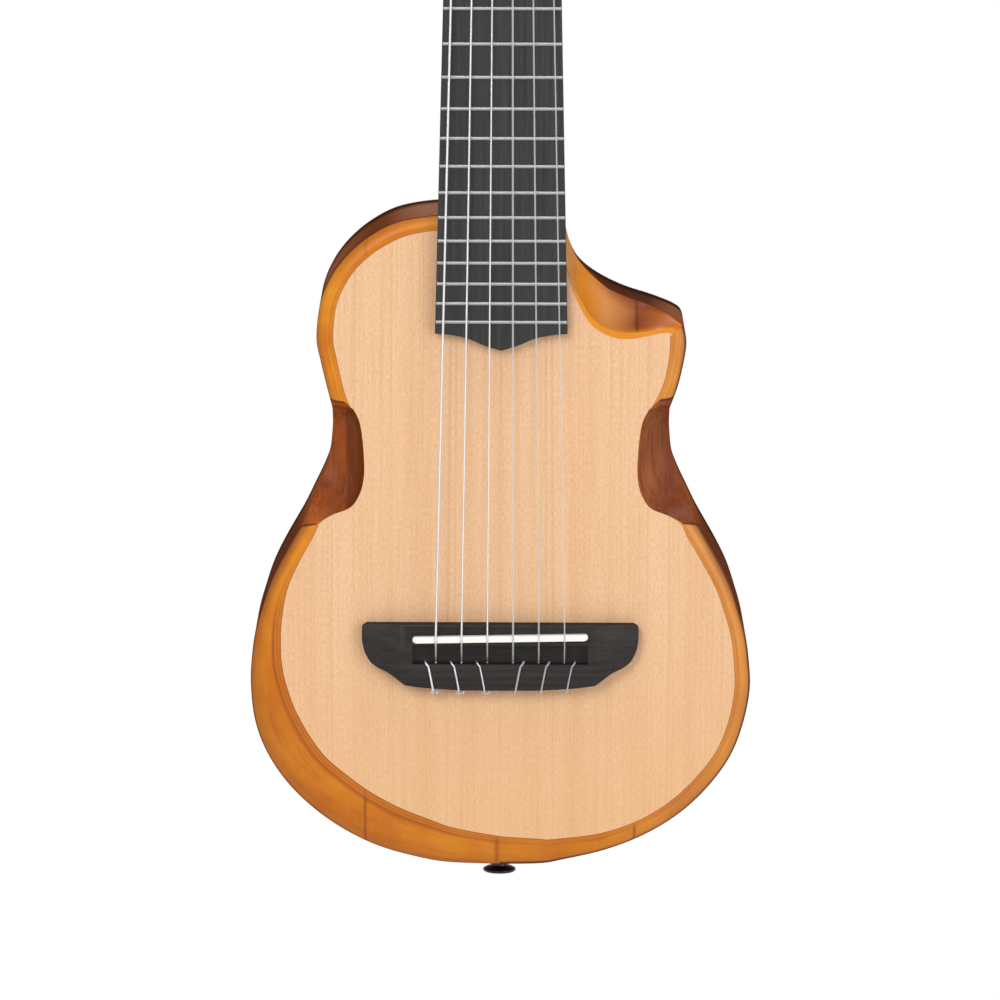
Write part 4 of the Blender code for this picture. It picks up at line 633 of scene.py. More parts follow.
def make_plain(name, colour, roughness, metallic=0.0, coat=0.0, speckle=0.04, scale=900.0, alpha=1.0):
    """A hard material with a faint unevenness in colour and polish."""
    f = Finish(name, roughness, metallic, coat)
    f.shader.inputs["Alpha"].default_value = alpha
    uneven = f.grain((scale, scale, scale), 3.0, 0.6)
    dimmer = scaled(srgb(*colour), 1.0 - speckle)
    f.layer = f.mix(uneven, dimmer, scaled(srgb(*colour), 1.0 + speckle))
    return f.done(uneven, 0.03, polish=uneven, low=roughness * 0.85, high=roughness * 1.15)


def make_wound():
    """Silvered wire wound round a core: fine ribs across the string, lighter on their crests and darker
    between them, a painted highlight and painted shade.
    """
    f = Finish("silver_winding", 0.32, 0.7)
    x, _, z = f.split(f.place())
    place = f.node("CombineXYZ", [(0, z + x * 0.12)])
    ribs = f.node("TexWave", [("Vector", place), ("Scale", 0.314 / WOUND_WIRE), ("Detail", 0.0)], "Fac",
                  bands_direction="X")
    # Painted highlight on the ribs' crests and painted shade between them
    f.layer = f.mix(ribs, srgb(182, 182, 184), srgb(232, 232, 233))
    return f.done(ribs, 0.5)


# Mesh helpers

def keep(name, mesh, finish, slot, body="root", nodes=(), angle=35.0):
    """Link a mesh as a piece: its finish, the body it rides and the nodes it stands for. The slot is not
    used.
    """
    piece = linked(name, mesh)
    mesh.materials.clear()
    mesh.materials.append(finishes[finish])
    mesh.shade_smooth()
    mesh.set_sharp_from_angle(angle=math.radians(angle))
    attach(piece, body)
    if nodes:
        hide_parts(*nodes)


def close_up(bm, name):
    """Make mesh data of a bmesh, faces pointing out."""
    bmesh.ops.recalc_face_normals(bm, faces=bm.faces)
    mesh = bpy.data.meshes.new(name)
    bm.to_mesh(mesh)
    bm.free()
    return mesh


def join_rings(bm, rings, spans=None):
    """Faces between neighbouring rings of vertices, all round them or over their first spans only."""
    count = len(rings[0])
    for a, b in zip(rings, rings[1:]):
        for i in range(spans or count):
            j = (i + 1) % count
            bm.faces.new((a[i], a[j], b[j], b[i]))


def stand_in(name, mesh, finish, slot, ending="_fine", **more):
    """Keep a mesh in place of the CAD node of that name."""
    keep(name + ending, mesh, finish, slot, nodes=[name], **more)


def mirrored(right, shared=1):
    """An outline from its right half. Its last points, as many as shared says, lie on the middle line."""
    return [*right, *[(-x, y) for x, y in reversed(right[:len(right) - shared])]]


def skin(name, rings, across=None, along=None, weights=None):
    """A solid through matched closed rings. Across and along give the rim's UV places of points and rings."""
    bm = bmesh.new()
    layer = bm.loops.layers.uv.new("rim") if across else None
    lip = bm.verts.layers.float.new("lip") if weights else None
    rows = [[bm.verts.new(point) for point in ring] for ring in rings]
    join_rings(bm, rows)
    bm.faces.new(rows[0])
    bm.faces.new(rows[-1])
    if across:
        places = {}
        for row, shares, metres in zip(rows, across, along):
            for vertex, share in zip(row, shares):
                places[vertex] = (share, metres)
        for face in bm.faces:
            for loop in face.loops:
                loop[layer].uv = places[loop.vert]
    for row, weight in zip(rows, weights or ()):
        for vertex in row:
            vertex[lip] = weight
    return close_up(bm, name)


def revolve(name, profile, sides=48, closed=False):
    """A turned solid about local Z through (radius, z) pairs; closed where they are a ring's section."""
    bm = bmesh.new()
    columns = [[bm.verts.new((*polar(r, angle), z)) for r, z in profile] for angle in circle(sides)]
    join_rings(bm, columns + columns[:1], len(profile) if closed else len(profile) - 1)
    if not closed:
        bm.faces.new([column[0] for column in columns])
        bm.faces.new([column[-1] for column in columns])
    return close_up(bm, name)


def tube(name, route, radius, sides):
    """A round bar along a route of points."""
    points = [Vector(p) for p in route]
    last = len(points) - 1
    tangents = [(points[min(i + 1, last)] - points[max(i - 1, 0)]).normalized() for i in range(last + 1)]
    normal = tangents[0].orthogonal().normalized()
    rings = []
    for point, tangent in zip(points, tangents):
        normal = (normal - tangent * normal.dot(tangent)).normalized()
        side = tangent.cross(normal)
        rings.append([point + (normal * math.cos(a) + side * math.sin(a)) * radius for a in circle(sides)])
    return skin(name, rings)


def slab(name, outline, low, high, bevel=0.0, segments=3):
    """A plate: a closed outline of (x, y) pairs between two heights along local Z, with rounded rims."""
    bm = bmesh.new()
    rows = [[bm.verts.new((x, y, z)) for x, y in outline] for z in (low, high)]
    join_rings(bm, rows)
    caps = [bm.faces.new(row) for row in rows]
    if bevel:
        edges = [e for cap in caps for e in cap.edges]
        bmesh.ops.bevel(bm, geom=edges, offset=bevel, segments=segments, profile=0.5, affect="EDGES",
                        clamp_overlap=True)
    return close_up(bm, name)


def block(name, low, high, bevel=0.0, segments=3):
    """A box between two corners with rounded edges."""
    bm = bmesh.new()
    bmesh.ops.create_cube(bm, size=1.0)
    low, high = Vector(low), Vector(high)
    bmesh.ops.scale(bm, vec=high - low, verts=bm.verts)
    bmesh.ops.translate(bm, vec=(low + high) / 2.0, verts=bm.verts)
    if bevel:
        bmesh.ops.bevel(bm, geom=list(bm.edges), offset=bevel, segments=segments, profile=0.5, affect="EDGES")
    return close_up(bm, name)


def bar(name, start, end, radius, sides=24):
    """A round bar between two points."""
    return tube(name, [start, end], radius, sides)


def evaluated(holder):
    """The mesh of an object with its modifiers applied."""
    bpy.context.view_layer.update()
    return bpy.data.meshes.new_from_object(holder.evaluated_get(bpy.context.evaluated_depsgraph_get()))


def carve(mesh, tools, operation="DIFFERENCE"):
    """Cut meshes from a mesh, or join them on, and give back the result."""
    holder = linked("carved", mesh)
    helpers = [linked("tool", tool) for tool in tools]
    for helper in helpers:
        change = holder.modifiers.new("cut", "BOOLEAN")
        change.operation = operation
        change.solver = "EXACT"
        change.object = helper
    result = evaluated(holder)
    for helper in helpers + [holder]:
        bpy.data.objects.remove(helper, do_unlink=True)
    return result


def soften(mesh, width, segments):
    """Round a mesh's sharp edges and give back the result."""
    holder = linked("softened", mesh)
    edge = holder.modifiers.new("round", "BEVEL")
    edge.width = width
    edge.segments = segments
    edge.limit_method = "ANGLE"
    edge.angle_limit = math.radians(35.0)
    edge.use_clamp_overlap = True
    result = evaluated(holder)
    bpy.data.objects.remove(holder, do_unlink=True)
    return result


def moved(mesh, matrix):
    mesh.transform(matrix)
    return mesh


def spline_rows(table, steps):
    """Read a smooth curve through rows of numbers: Catmull-Rom, with steps spans to a row."""
    result = []
    last = len(table) - 1
    for i in range(last):
        near = (table[max(i - 1, 0)], table[i], table[i + 1], table[min(i + 2, last)])
        for k in range(steps):
            t = k / steps
            result.append([
                0.5 * (2.0 * b + (c - a) * t + (2.0 * a - 5.0 * b + 4.0 * c - d) * t * t
                       + (3.0 * b - a - 3.0 * c + d) * t ** 3)
                for a, b, c, d in zip(*near)
            ])
    result.append(list(table[last]))
    return result


# The body's outline, with the CAD's rows
#
# A row is: half width, distance down from the joint, then the carved edge at that place: its width in from
# the outline, its lip (flat part beside the soundboard), its depth at the outline, and its hollow, which is
# 0 for a rounded edge and 1 for a scoop. A table's numbers are shares of the sizes at the top.

def rows(place, edge, table):
    """Full rows from a table of shares, by where they lie and which edge they have there."""
    low_x, high_x, low_down, high_down = place
    full_width, full_lip, full_depth = edge
    result = []
    for across, down, width, lip, depth, *hollow in table:
        result.append((low_x + (high_x - low_x) * across, low_down + (high_down - low_down) * down,
                       full_width * width, full_lip * lip, full_depth * depth, *(hollow or [0.0])))
    return result


# Half widths and distances down between which a table's first two shares run
NECK_SIDE = (0.0, CUTAWAY_INNER, 0.0, HORN_DOWN)
CUTAWAY = (CUTAWAY_INNER, UPPER_HALF, 0.0, HORN_DOWN)
UPPER = (0.0, UPPER_HALF, 0.0, UPPER_DOWN)
TO_WAIST = (UPPER_HALF, WAIST_HALF, UPPER_DOWN, WAIST_DOWN)
TO_LOWER = (WAIST_HALF, LOWER_HALF, WAIST_DOWN, LOWER_DOWN)
TAIL = (0.0, LOWER_HALF, LOWER_DOWN, BODY_LENGTH)

# The full width, lip and depth of each kind of edge
RIM = (EDGE_WIDTH, EDGE_LIP, EDGE_DEPTH)
ARM_BEVEL = (ARM_BEVEL_WIDTH, ARM_BEVEL_LIP, ARM_BEVEL_DEPTH)
SCOOP = (SCOOP_WIDTH, EDGE_LIP, SCOOP_DEPTH)
HOLLOW_CUT = (CUTAWAY_WIDTH, CUTAWAY_LIP, CUTAWAY_DEPTH)

SCOOP_ROWS = (
    *rows(TO_WAIST, SCOOP, (
        (0.98, 0.72, 0.56, 0.0, 0.48, 0.6), (1.00, 0.81, 0.70, 0.0, 0.70, 0.9),
        (0.99, 0.95, 0.80, 0.0, 0.92, 1.0),
    )),
    *rows(TO_LOWER, SCOOP, (
        (0.024, 0.06, 0.91, 0.0, 1.0, 1.0), (0.058, 0.13, 1.0, 0.0, 1.0, 1.0),
        (0.103, 0.172, 1.03, 0.0, 0.95, 1.0), (0.165, 0.217, 0.95, 0.0, 0.84, 1.0),
        (0.238, 0.265, 0.62, 0.0, 0.58, 0.8), (0.308, 0.312, 0.40, 0.5, 0.26, 0.2),
    )),
)
BASS_UPPER_ROWS = (
    *rows(UPPER, RIM, (
        (0.00, 0.000, 0.9, 0.667, 0.273), (0.17, 0.000, 0.9, 0.667, 0.273),
        (0.35, 0.006, 0.9, 0.8, 0.636), (0.51, 0.040, 0.943, 1.0, 0.909), (0.62, 0.095, 1.0, 1.0, 1.0),
        (0.728, 0.190, 1.0, 1.0, 1.0), (0.807, 0.287, 1.0, 1.0, 1.0), (0.869, 0.388, 1.0, 1.0, 1.0),
        (0.916, 0.491, 1.029, 1.0, 1.0), (0.959, 0.625, 1.043, 1.0, 1.0), (0.985, 0.77, 1.057, 1.0, 1.0),
        (0.998, 1.000, 1.1, 1.0, 1.0),
    )),
    *rows(TO_WAIST, RIM, (
        (0.27, 0.22, 1.086, 1.0, 1.0), (0.63, 0.47, 1.057, 1.0, 1.0), (0.93, 0.66, 1.1, 1.0, 1.0),
    )),
)
BASS_LOWER_ROWS = (
    *rows(TO_LOWER, ARM_BEVEL, (
        (0.385, 0.36, 0.282, 0.52, 0.35), (0.605, 0.484, 0.298, 0.571, 0.375),
        (0.750, 0.58, 0.331, 0.743, 0.438), (0.853, 0.678, 0.395, 0.914, 0.531),
        (0.937, 0.775, 0.488, 1.0, 0.625), (0.985, 0.88, 0.57, 1.0, 0.719),
        (1.00, 1.00, 0.70, 1.0, 0.812),
    )),
    *rows(TAIL, ARM_BEVEL, (
        (0.984, 0.20, 0.847, 1.0, 0.906), (0.937, 0.38, 0.919, 1.0, 0.969),
        (0.857, 0.55, 0.948, 1.0, 1.0), (0.748, 0.70, 0.984, 1.0, 1.0), (0.623, 0.82, 0.972, 1.0, 0.969),
        (0.484, 0.91, 0.935, 0.971, 0.906), (0.320, 0.97, 0.847, 0.914, 0.812),
        (0.197, 0.993, 0.75, 0.829, 0.719), (0.000, 1.00, 0.605, 0.743, 0.656),
    )),
)
TREBLE_LOWER_ROWS = (
    *rows(TO_LOWER, RIM, (
        (0.385, 0.36, 1.0, 1.0, 1.0), (0.605, 0.484, 0.971, 1.0, 1.0), (0.750, 0.58, 0.943, 1.0, 1.0),
        (0.853, 0.678, 0.929, 1.0, 1.0), (0.937, 0.775, 0.943, 1.0, 1.0), (0.985, 0.88, 0.986, 1.0, 1.0),
        (1.00, 1.00, 1.029, 1.0, 1.0),
    )),
    *rows(TAIL, RIM, (
        (0.972, 0.20, 1.014, 1.0, 1.0), (0.921, 0.38, 1.043, 1.0, 1.0), (0.833, 0.55, 1.1, 1.0, 1.0),
        (0.720, 0.70, 1.129, 1.067, 1.091), (0.582, 0.82, 1.171, 1.2, 1.182),
        (0.423, 0.91, 1.343, 1.333, 1.364), (0.249, 0.97, 1.671, 1.467, 1.545),
        (0.162, 0.993, 1.914, 1.6, 1.727), (0.000, 1.00, 2.143, 1.733, 1.909),
    )),
)
HORN_ROWS = (
    *rows(CUTAWAY, RIM, (
        (0.990, 0.908, 1.0, 1.0, 1.0), (1.000, 1.0, 1.071, 1.0, 1.0),
    )),
    *rows(TO_WAIST, RIM, (
        (0.15, 0.22, 1.014, 1.0, 1.0), (0.50, 0.47, 0.986, 1.0, 1.0), (0.91, 0.66, 1.071, 1.0, 1.0),
    )),
)
CUTAWAY_ROWS = (
    *rows(NECK_SIDE, RIM, (
        (0.0, 0.0, 0.857, 0.667, 0.273), (0.507, 0.0, 0.857, 0.667, 0.273),
        (0.845, 0.0, 0.786, 0.667, 0.273),
    )),
    *rows(CUTAWAY, RIM, (
        (-0.012, 0.075, 0.6, 0.667, 0.273), (0.003, 0.192, 0.6, 0.667, 0.727),
    )),
    *rows(CUTAWAY, HOLLOW_CUT, (
        (0.029, 0.3, 0.266, 0.385, 0.333, 0.2), (0.070, 0.392, 0.24, 0.308, 0.583, 0.5),
        (0.122, 0.462, 0.386, 0.308, 0.833, 0.9), (0.214, 0.537, 0.645, 0.692, 0.958, 1.0),
        (0.351, 0.614, 0.985, 0.923, 1.0, 1.0), (0.513, 0.681, 1.038, 1.0, 1.0, 1.0),
        (0.699, 0.736, 0.785, 0.923, 0.917, 0.9), (0.842, 0.785, 0.468, 0.692, 0.583, 0.5),
        (0.921, 0.820, 0.361, 0.577, 0.333, 0.1), (0.966, 0.853, 0.399, 0.577, 0.229, 0.0),
    )),
)


class Station:
    """One place on the rim: its outline point, the way in, and the carved edge's sizes there."""

    def __init__(self, row, inward, along):
        self.x, self.z, self.width, self.lip, self.depth, self.hollow = row
        self.inward = inward
        self.along = along

    def at(self, inset, y):
        """The point that lies inset from the outline, at depth y."""
        return Vector((self.x + self.inward[0] * inset, y, self.z + self.inward[1] * inset))

    def back(self):
        return back_depth(self.z)

    def foot(self):
        """The depth to which the carved edge reaches."""
        return self.depth + EDGE_BELOW_BEVEL


def back_depth(z):
    """The back's outer face, which slopes from the neck to the tail."""
    return BODY_DEPTH_NECK + (JOINT_Z - z) * BACK_SLOPE


def make_stations(sections, side):
    """Smooth stations through each section's rows, and where sections meet; side is -1 for bass."""
    placed = []
    for half, down, *edge, hollow in spline_rows([row for section in sections for row in section], STEPS):
        x, z = side * max(half, GLUE * 0.05), JOINT_Z - max(down, 0.0)
        placed.append((x, z, *edge, min(1.0, max(0.0, hollow))))
    stations = []
    along = 0.0
    for i, row in enumerate(placed):
        before = placed[max(i - 1, 0)]
        after = placed[min(i + 1, len(placed) - 1)]
        dx, dz = after[0] - before[0], after[1] - before[1]
        if i in (0, len(placed) - 1):
            dz = 0.0
        length = math.hypot(dx, dz)
        if i:
            along += math.hypot(row[0] - before[0], row[1] - before[1])
        stations.append(Station(row, (side * dz / length, -side * dx / length), along))
    cuts = [0]
    total = 0
    for section in sections:
        total += len(section)
        cuts.append((total - 1) * STEPS)
    return stations, cuts


bass, bass_cuts = make_stations((BASS_UPPER_ROWS, SCOOP_ROWS, BASS_LOWER_ROWS), -1)
treble, treble_cuts = make_stations((CUTAWAY_ROWS, HORN_ROWS, SCOOP_ROWS, TREBLE_LOWER_ROWS), 1)


# The finishes

def scoop_ends(stations, first, last, offsets):
    """Where the brown begins and ends along the rim, from the pieces' own ends."""
    return (stations[first].along + offsets[0], offsets[1], stations[last].along + offsets[2], offsets[3])


SCOOP_BASS = scoop_ends(bass, bass_cuts[1], bass_cuts[2], (0.0038, -0.0032, -0.0044, 0.0058))
SCOOP_TREBLE = scoop_ends(treble, treble_cuts[2], treble_cuts[3], (0.0034, -0.0040, -0.0050, 0.0052))
# Painted light and shade in the scoops' hollows: the wall's tone, the floor's tone, where they meet and how
# softly
HOLLOW_SHADING_BASS = (srgb(128, 64, 30), srgb(168, 86, 36), 0.0716, 0.0012)
HOLLOW_SHADING_TREBLE = (srgb(180, 108, 66), srgb(130, 68, 42), 0.0730, 0.0080)

finishes = {
    "spruce": make_spruce(),
    "rim_bass": make_rim_wood("rim_amber_bass", SCOOP_BASS, HOLLOW_SHADING_BASS, 0.890),
    "rim_treble": make_rim_wood("rim_amber_treble", SCOOP_TREBLE, HOLLOW_SHADING_TREBLE, 0.780),
    "side": make_side_wood(),
    "neck": make_straight_wood("neck_brown", (116, 70, 44), (158, 104, 70), 160.0, "z"),
    "board": make_straight_wood("board_dark", (47, 47, 47), (65, 64, 63), 700.0, "z", 0.50, 0.16, 0.55),
    "bridge": make_straight_wood("bridge_dark", (30, 27, 26), (52, 47, 45), 500.0, "x", 0.42, 0.22, 0.6),
    "inner": make_straight_wood("inner_pale", (196, 158, 112), (222, 188, 146), 240.0, "z", 0.7, 0.2),
    "bone": make_plain("bone_white", (246, 243, 235), 0.32, 0.0, 0.2, 0.02),
    "nylon": make_plain("nylon_clear", (215, 216, 217), 0.30, 0.0, 0.1, 0.02, alpha=0.42),
    "wound": make_wound(),
    "fret": make_plain("fret_metal", (160, 160, 160), 0.36, 0.85, 0.0, 0.05),
    "black": make_plain("black_plated", (26, 26, 27), 0.22, 0.6, 0.3, 0.10),
    "button": make_plain("black_button", (20, 20, 21), 0.18, 0.0, 0.5, 0.10),
    "steel": make_plain("rod_steel", (150, 150, 152), 0.35, 1.0, 0.0, 0.06),
    "gear": make_plain("gear_brass", (196, 164, 96), 0.30, 1.0, 0.0, 0.06),
    "silk": make_plain("silk_white", (238, 238, 236), 0.8, 0.0, 0.0, 0.05, 3000.0),
    "back": make_straight_wood("back_brown", (104, 58, 36), (148, 92, 62), 160.0, "z", 0.30, 0.5),
    "cutaway": make_cutaway_wood(),
}


# The body

def edge_section(station):
    """The carved edge's section: lip, round or hollow bevel, foot and inner wall."""
    width, lip, depth = station.width, station.lip, station.depth
    inner = width + GLUE * 0.5
    start = lip * 0.04
    reach = width - lip
    points = [station.at(inner, 0.0), station.at(width - lip * 0.5, start * 0.5), station.at(reach, start)]
    shares = [0.0, 0.5, 1.0]
    for k, angle in enumerate(arc(QUARTER, EDGE_STEPS)[1:-1], 1):
        round_out, round_down = math.sin(angle), 1.0 - math.cos(angle)
        hollow_out, hollow_down = 1.0 - math.cos(angle), math.sin(angle)
        out = round_out + (hollow_out - round_out) * station.hollow
        down = round_down + (hollow_down - round_down) * station.hollow
        points.append(station.at(reach * (1.0 - out), start + (depth - start) * down))
        shares.append(1.0 + k / EDGE_STEPS)
    points += [station.at(0.0, depth), station.at(0.0, station.foot()), station.at(inner, station.foot())]
    return points, shares + [2.0, 2.1, 2.1]


def make_edge(name, stations, start, end, finish, slot, strip):
    run = stations[start:end + 1]
    sections = [edge_section(station) for station in run]
    mesh = skin(name, [points for points, _ in sections], [shares for _, shares in sections],
                [station.along for station in run], [strip(station) for station in run])
    stand_in(name, mesh, finish, slot)


def strip_bass_lower(station):
    """How plainly the strip beside the soundboard stands off from the arm bevel."""
    return min(1.0, max(0.0, (JOINT_Z - 0.150 - station.z) / 0.040)) * (1.0 if station.x < -0.02 else 0.8)


def make_sides():
    for name, stations in (("side_bass", bass), ("side_treble", treble)):
        rings, across = [], []
        for station in stations:
            front = station.foot() + GLUE * 0.1
            outer = station.back() - BACK_THICKNESS - GLUE
            section = [(0.0, front), (0.0, (front + outer) / 2.0), (0.0, outer),
                       (SIDE_THICKNESS, outer), (SIDE_THICKNESS, front)]
            rings.append([station.at(inset, y) for inset, y in section])
            across.append([y / 0.02 for _, y in section])
        mesh = skin(name, rings, across, [station.along for station in stations])
        if name == "side_bass":
            middle = JOINT_Z - PORT_DOWN
            port = [(PORT_Y + PORT_HALF_DEPTH * math.cos(a), middle + PORT_HALF_LENGTH * math.sin(a))
                    for a in circle(40)]
            ends = (-UPPER_HALF * 1.2, -UPPER_HALF * 0.8)
            mesh = carve(mesh, [skin("port", [[(x, y, z) for y, z in port] for x in ends])])
        low, high = (0.0, PIN_Y, TAIL_Z - 0.01), (0.0, PIN_Y, TAIL_Z + 0.01)
        mesh = carve(mesh, [bar("pin_hole", low, high, PIN_SHAFT_RADIUS + CLEAR)])
        stand_in(name, mesh, "side", "side_wood")


def rim_ring(inset, y_of):
    """A closed ring of points round the body, inset from the outline."""
    ring = []
    for station in bass[1:-1] + list(reversed(treble[1:-1])):
        spot = station.at(inset(station), 0.0)
        ring.append(Vector((spot.x, y_of(spot.z), spot.z)))
    return ring


def make_plates():
    def inset(station):
        return station.width + GLUE * 0.75

    rings = [rim_ring(inset, lambda z: 0.0), rim_ring(inset, lambda z: TOP_THICKNESS)]
    stand_in("soundboard", skin("soundboard", rings), "spruce", "spruce")
    rings = [rim_ring(lambda s: 0.0, lambda z: back_depth(z) - BACK_THICKNESS)]
    for angle in arc(QUARTER, 6):
        inward, above = BACK_ROUNDING * (1.0 - math.cos(angle)), BACK_ROUNDING * (1.0 - math.sin(angle))
        rings.append(rim_ring(lambda s: inward, lambda z: back_depth(z) - above))
    stand_in("back_plate", skin("back_plate", rings), "back", "side_wood")


def make_body():
    """The carved edge in its pieces, with how plainly the strip beside the soundboard shows in each."""
    bass_edges = (("edge_bass_upper", "rim_bass", "edge_wood", lambda s: 0.25),
                  ("waist_scoop_bass", "rim_bass", "scoop_wood", lambda s: 0.0),
                  ("edge_bass_lower", "rim_bass", "edge_wood", strip_bass_lower))
    treble_edges = (("edge_cutaway", "cutaway", "edge_wood", lambda s: 0.0),
                    ("edge_treble_upper", "rim_treble", "edge_wood", lambda s: 0.3),
                    ("waist_scoop_treble", "rim_treble", "scoop_wood", lambda s: 0.0),
                    ("edge_treble_lower", "rim_treble", "edge_wood", lambda s: 0.4))
    for stations, cuts, edges in ((bass, bass_cuts, bass_edges), (treble, treble_cuts, treble_edges)):
        for (name, finish, slot, strip), start, end in zip(edges, cuts, cuts[1:]):
            make_edge(name, stations, start, end, finish, slot, strip)
    make_sides()
    make_plates()


# Neck, fretboard and headstock

def board_half(z):
    share = z / BOARD_END_Z
    return (NUT_WIDTH + (BOARD_END_WIDTH - NUT_WIDTH) * share) / 2.0


def neck_section(half, depth, roundness, foot, heel, place):
    """A section of the neck, flat on top: round where heel is 0; where heel is 1 it narrows to the foot."""
    points = []
    middle = NECK_SIDES // 2
    for k, angle in enumerate(arc(math.pi, NECK_SIDES)):
        c, s = math.cos(angle), math.sin(angle)
        round_x = math.copysign(abs(c) ** (2.0 / roundness), c)
        round_y = max(s, 0.0) ** (2.0 / roundness)
        down = min(1.0, min(k, NECK_SIDES - k) / (middle * 0.83))
        edge = min(1.0, abs(k - middle) / (middle * 0.17))
        heel_x = math.copysign((foot + (1.0 - foot) * (1.0 - down) ** 1.3) * edge, c)
        heel_y = down ** 1.4
        points.append(place(half * (round_x + (heel_x - round_x) * heel),
                            depth * (round_y + (heel_y - round_y) * heel)))
    return points


def head_point(x, v, u):
    """A point of the headstock: across, in from its face, and up along it."""
    return Vector((x, u * math.sin(HEAD_TILT) + v * math.cos(HEAD_TILT),
                   NUT_THICKNESS + u * math.cos(HEAD_TILT) - v * math.sin(HEAD_TILT)))


HEAD_FRAME = Matrix.Translation((0.0, 0.0, NUT_THICKNESS)) @ Matrix.Rotation(-HEAD_TILT, 4, "X")

# The headstock's side, height and half width in a row, and its top, half width and height in a row
HEAD_SIDE = (
    (0.0020, NUT_WIDTH / 2.0),
    (0.0100, NUT_WIDTH / 2.0 + 0.0020),
    (0.0200, HEAD_HALF - 0.0012),
    (0.0280, HEAD_HALF),
    (0.0600, HEAD_HALF - 0.0006),
    (HEAD_LENGTH - 0.0120, HEAD_TOP_HALF),
)
HEAD_TOP = (
    (HEAD_TOP_HALF - 0.0001, HEAD_LENGTH - 0.0105),
    (HEAD_TOP_HALF - 0.0008, HEAD_LENGTH - 0.0080),
    (HEAD_TOP_HALF - 0.0026, HEAD_LENGTH - 0.0058),
    (HEAD_TOP_HALF - 0.0080, HEAD_LENGTH - 0.0032),
    (HEAD_TOP_HALF - 0.0170, HEAD_LENGTH - 0.0010),
    (0.0, HEAD_LENGTH),
)


def post_drills(low, high, radius):
    """Round bars through the six post places, in the headstock's own frame, between two depths."""
    return [moved(bar("drill", (side * POST_X, low, u), (side * POST_X, high, u), radius, 32), HEAD_FRAME)
            for _, side, u in post_places()]


def post_places():
    """Number, side and height for each string's post: string 1 is the highest, on the treble side."""
    orders = (0, 1, 2, 2, 1, 0)
    return [(number, 1 if number <= 3 else -1, POST_FIRST + orders[number - 1] * POST_SPACING)
            for number in STRING_NUMBERS]


def make_neck():
    heel_z = JOINT_Z + GLUE
    sweep_z = heel_z + HEEL_CAP_LENGTH
    slim_z = sweep_z + HEEL_SWEEP
    full = back_depth(JOINT_Z) - HEEL_CAP_THICKNESS - GLUE
    sections = []

    def add(z, depth, roundness=2.2, foot=0.0, heel=0.0, half=None):
        half = half or board_half(z)
        sections.append(neck_section(half, depth, roundness, foot, heel, lambda x, y: (x, y, z)))

    for angle in arc(QUARTER, 8):
        share = math.sin(angle) * 0.985
        z = heel_z + HEEL_CAP_LENGTH * share
        add(z, full, foot=HEEL_CAP_HALF_WIDTH * math.sqrt(1.0 - share * share) / board_half(z), heel=1.0)
    for k in range(1, 16):
        share = k / 16.0
        depth = NECK_DEPTH_HEEL + (full - NECK_DEPTH_HEEL) * (1.0 - share) ** 2.6
        add(sweep_z + HEEL_SWEEP * share, depth, heel=(1.0 - share) ** 1.5)
    for k in range(9):
        share = 0.95 * k / 8.0
        add(slim_z * (1.0 - share), NECK_DEPTH_HEEL + (NECK_DEPTH_NUT - NECK_DEPTH_HEEL) * share)
    add(-0.0035, HEAD_THICKNESS - 0.0003, 2.6, half=NUT_WIDTH / 2.0)
    add(-0.0010, HEAD_THICKNESS, 3.2, half=NUT_WIDTH / 2.0)
    for u, half in spline_rows(HEAD_SIDE, 3) + [(HEAD_LENGTH + 0.0040, HEAD_TOP_HALF)]:
        sections.append(neck_section(half, HEAD_THICKNESS, 9.0, 0.0, 0.0, lambda x, y: head_point(x, y, u)))
    low = HEAD_LENGTH - 0.0125
    top = [(0.05, HEAD_LENGTH + 0.02), (0.05, low), (HEAD_TOP_HALF + 0.001, low), *spline_rows(HEAD_TOP, 4)]
    above = slab("above", mirrored(top), -HEAD_THICKNESS - 0.01, 0.01)
    tools = [moved(above, HEAD_FRAME @ FORWARD)]
    tools += post_drills(-0.01, HEAD_THICKNESS + 0.01, FERRULE_RADIUS + CLEAR)
    stand_in("neck", carve(skin("neck", sections), tools), "neck", "neck_wood", angle=42.0)


def make_heel_cap():
    outline = [(HEEL_CAP_HALF_WIDTH * math.cos(a), HEEL_CAP_LENGTH * math.sin(a)) for a in arc(math.pi, 32)]
    mesh = slab("heel_cap", outline, -HEEL_CAP_THICKNESS / 2.0, HEEL_CAP_THICKNESS / 2.0, 0.0004)
    place = Matrix.Translation((0.0, back_depth(JOINT_Z) - HEEL_CAP_THICKNESS / 2.0, JOINT_Z + GLUE))
    stand_in("heel_cap", moved(mesh, place @ FORWARD), "board", "dark_wood")


def fret_z(number):
    return -SCALE_LENGTH * (1.0 - 2.0 ** (-number / 12.0))


def make_fretboard():
    """The board with its pointed end."""
    ogee = spline_rows([(1.0, 0.05), (0.79, 0.11), (0.52, 0.30), (0.29, 0.66), (0.012, 1.0)], 8)
    right = [(board_half(-GLUE), -GLUE)]
    right += [(BOARD_END_WIDTH / 2.0 * across, BOARD_END_Z - BOARD_POINT * down) for across, down in ogee]
    mesh = slab("fretboard", mirrored(right, 0), GLUE, -BOARD_TOP, 0.00035)
    stand_in("fretboard", moved(mesh, FORWARD), "board", "dark_wood")


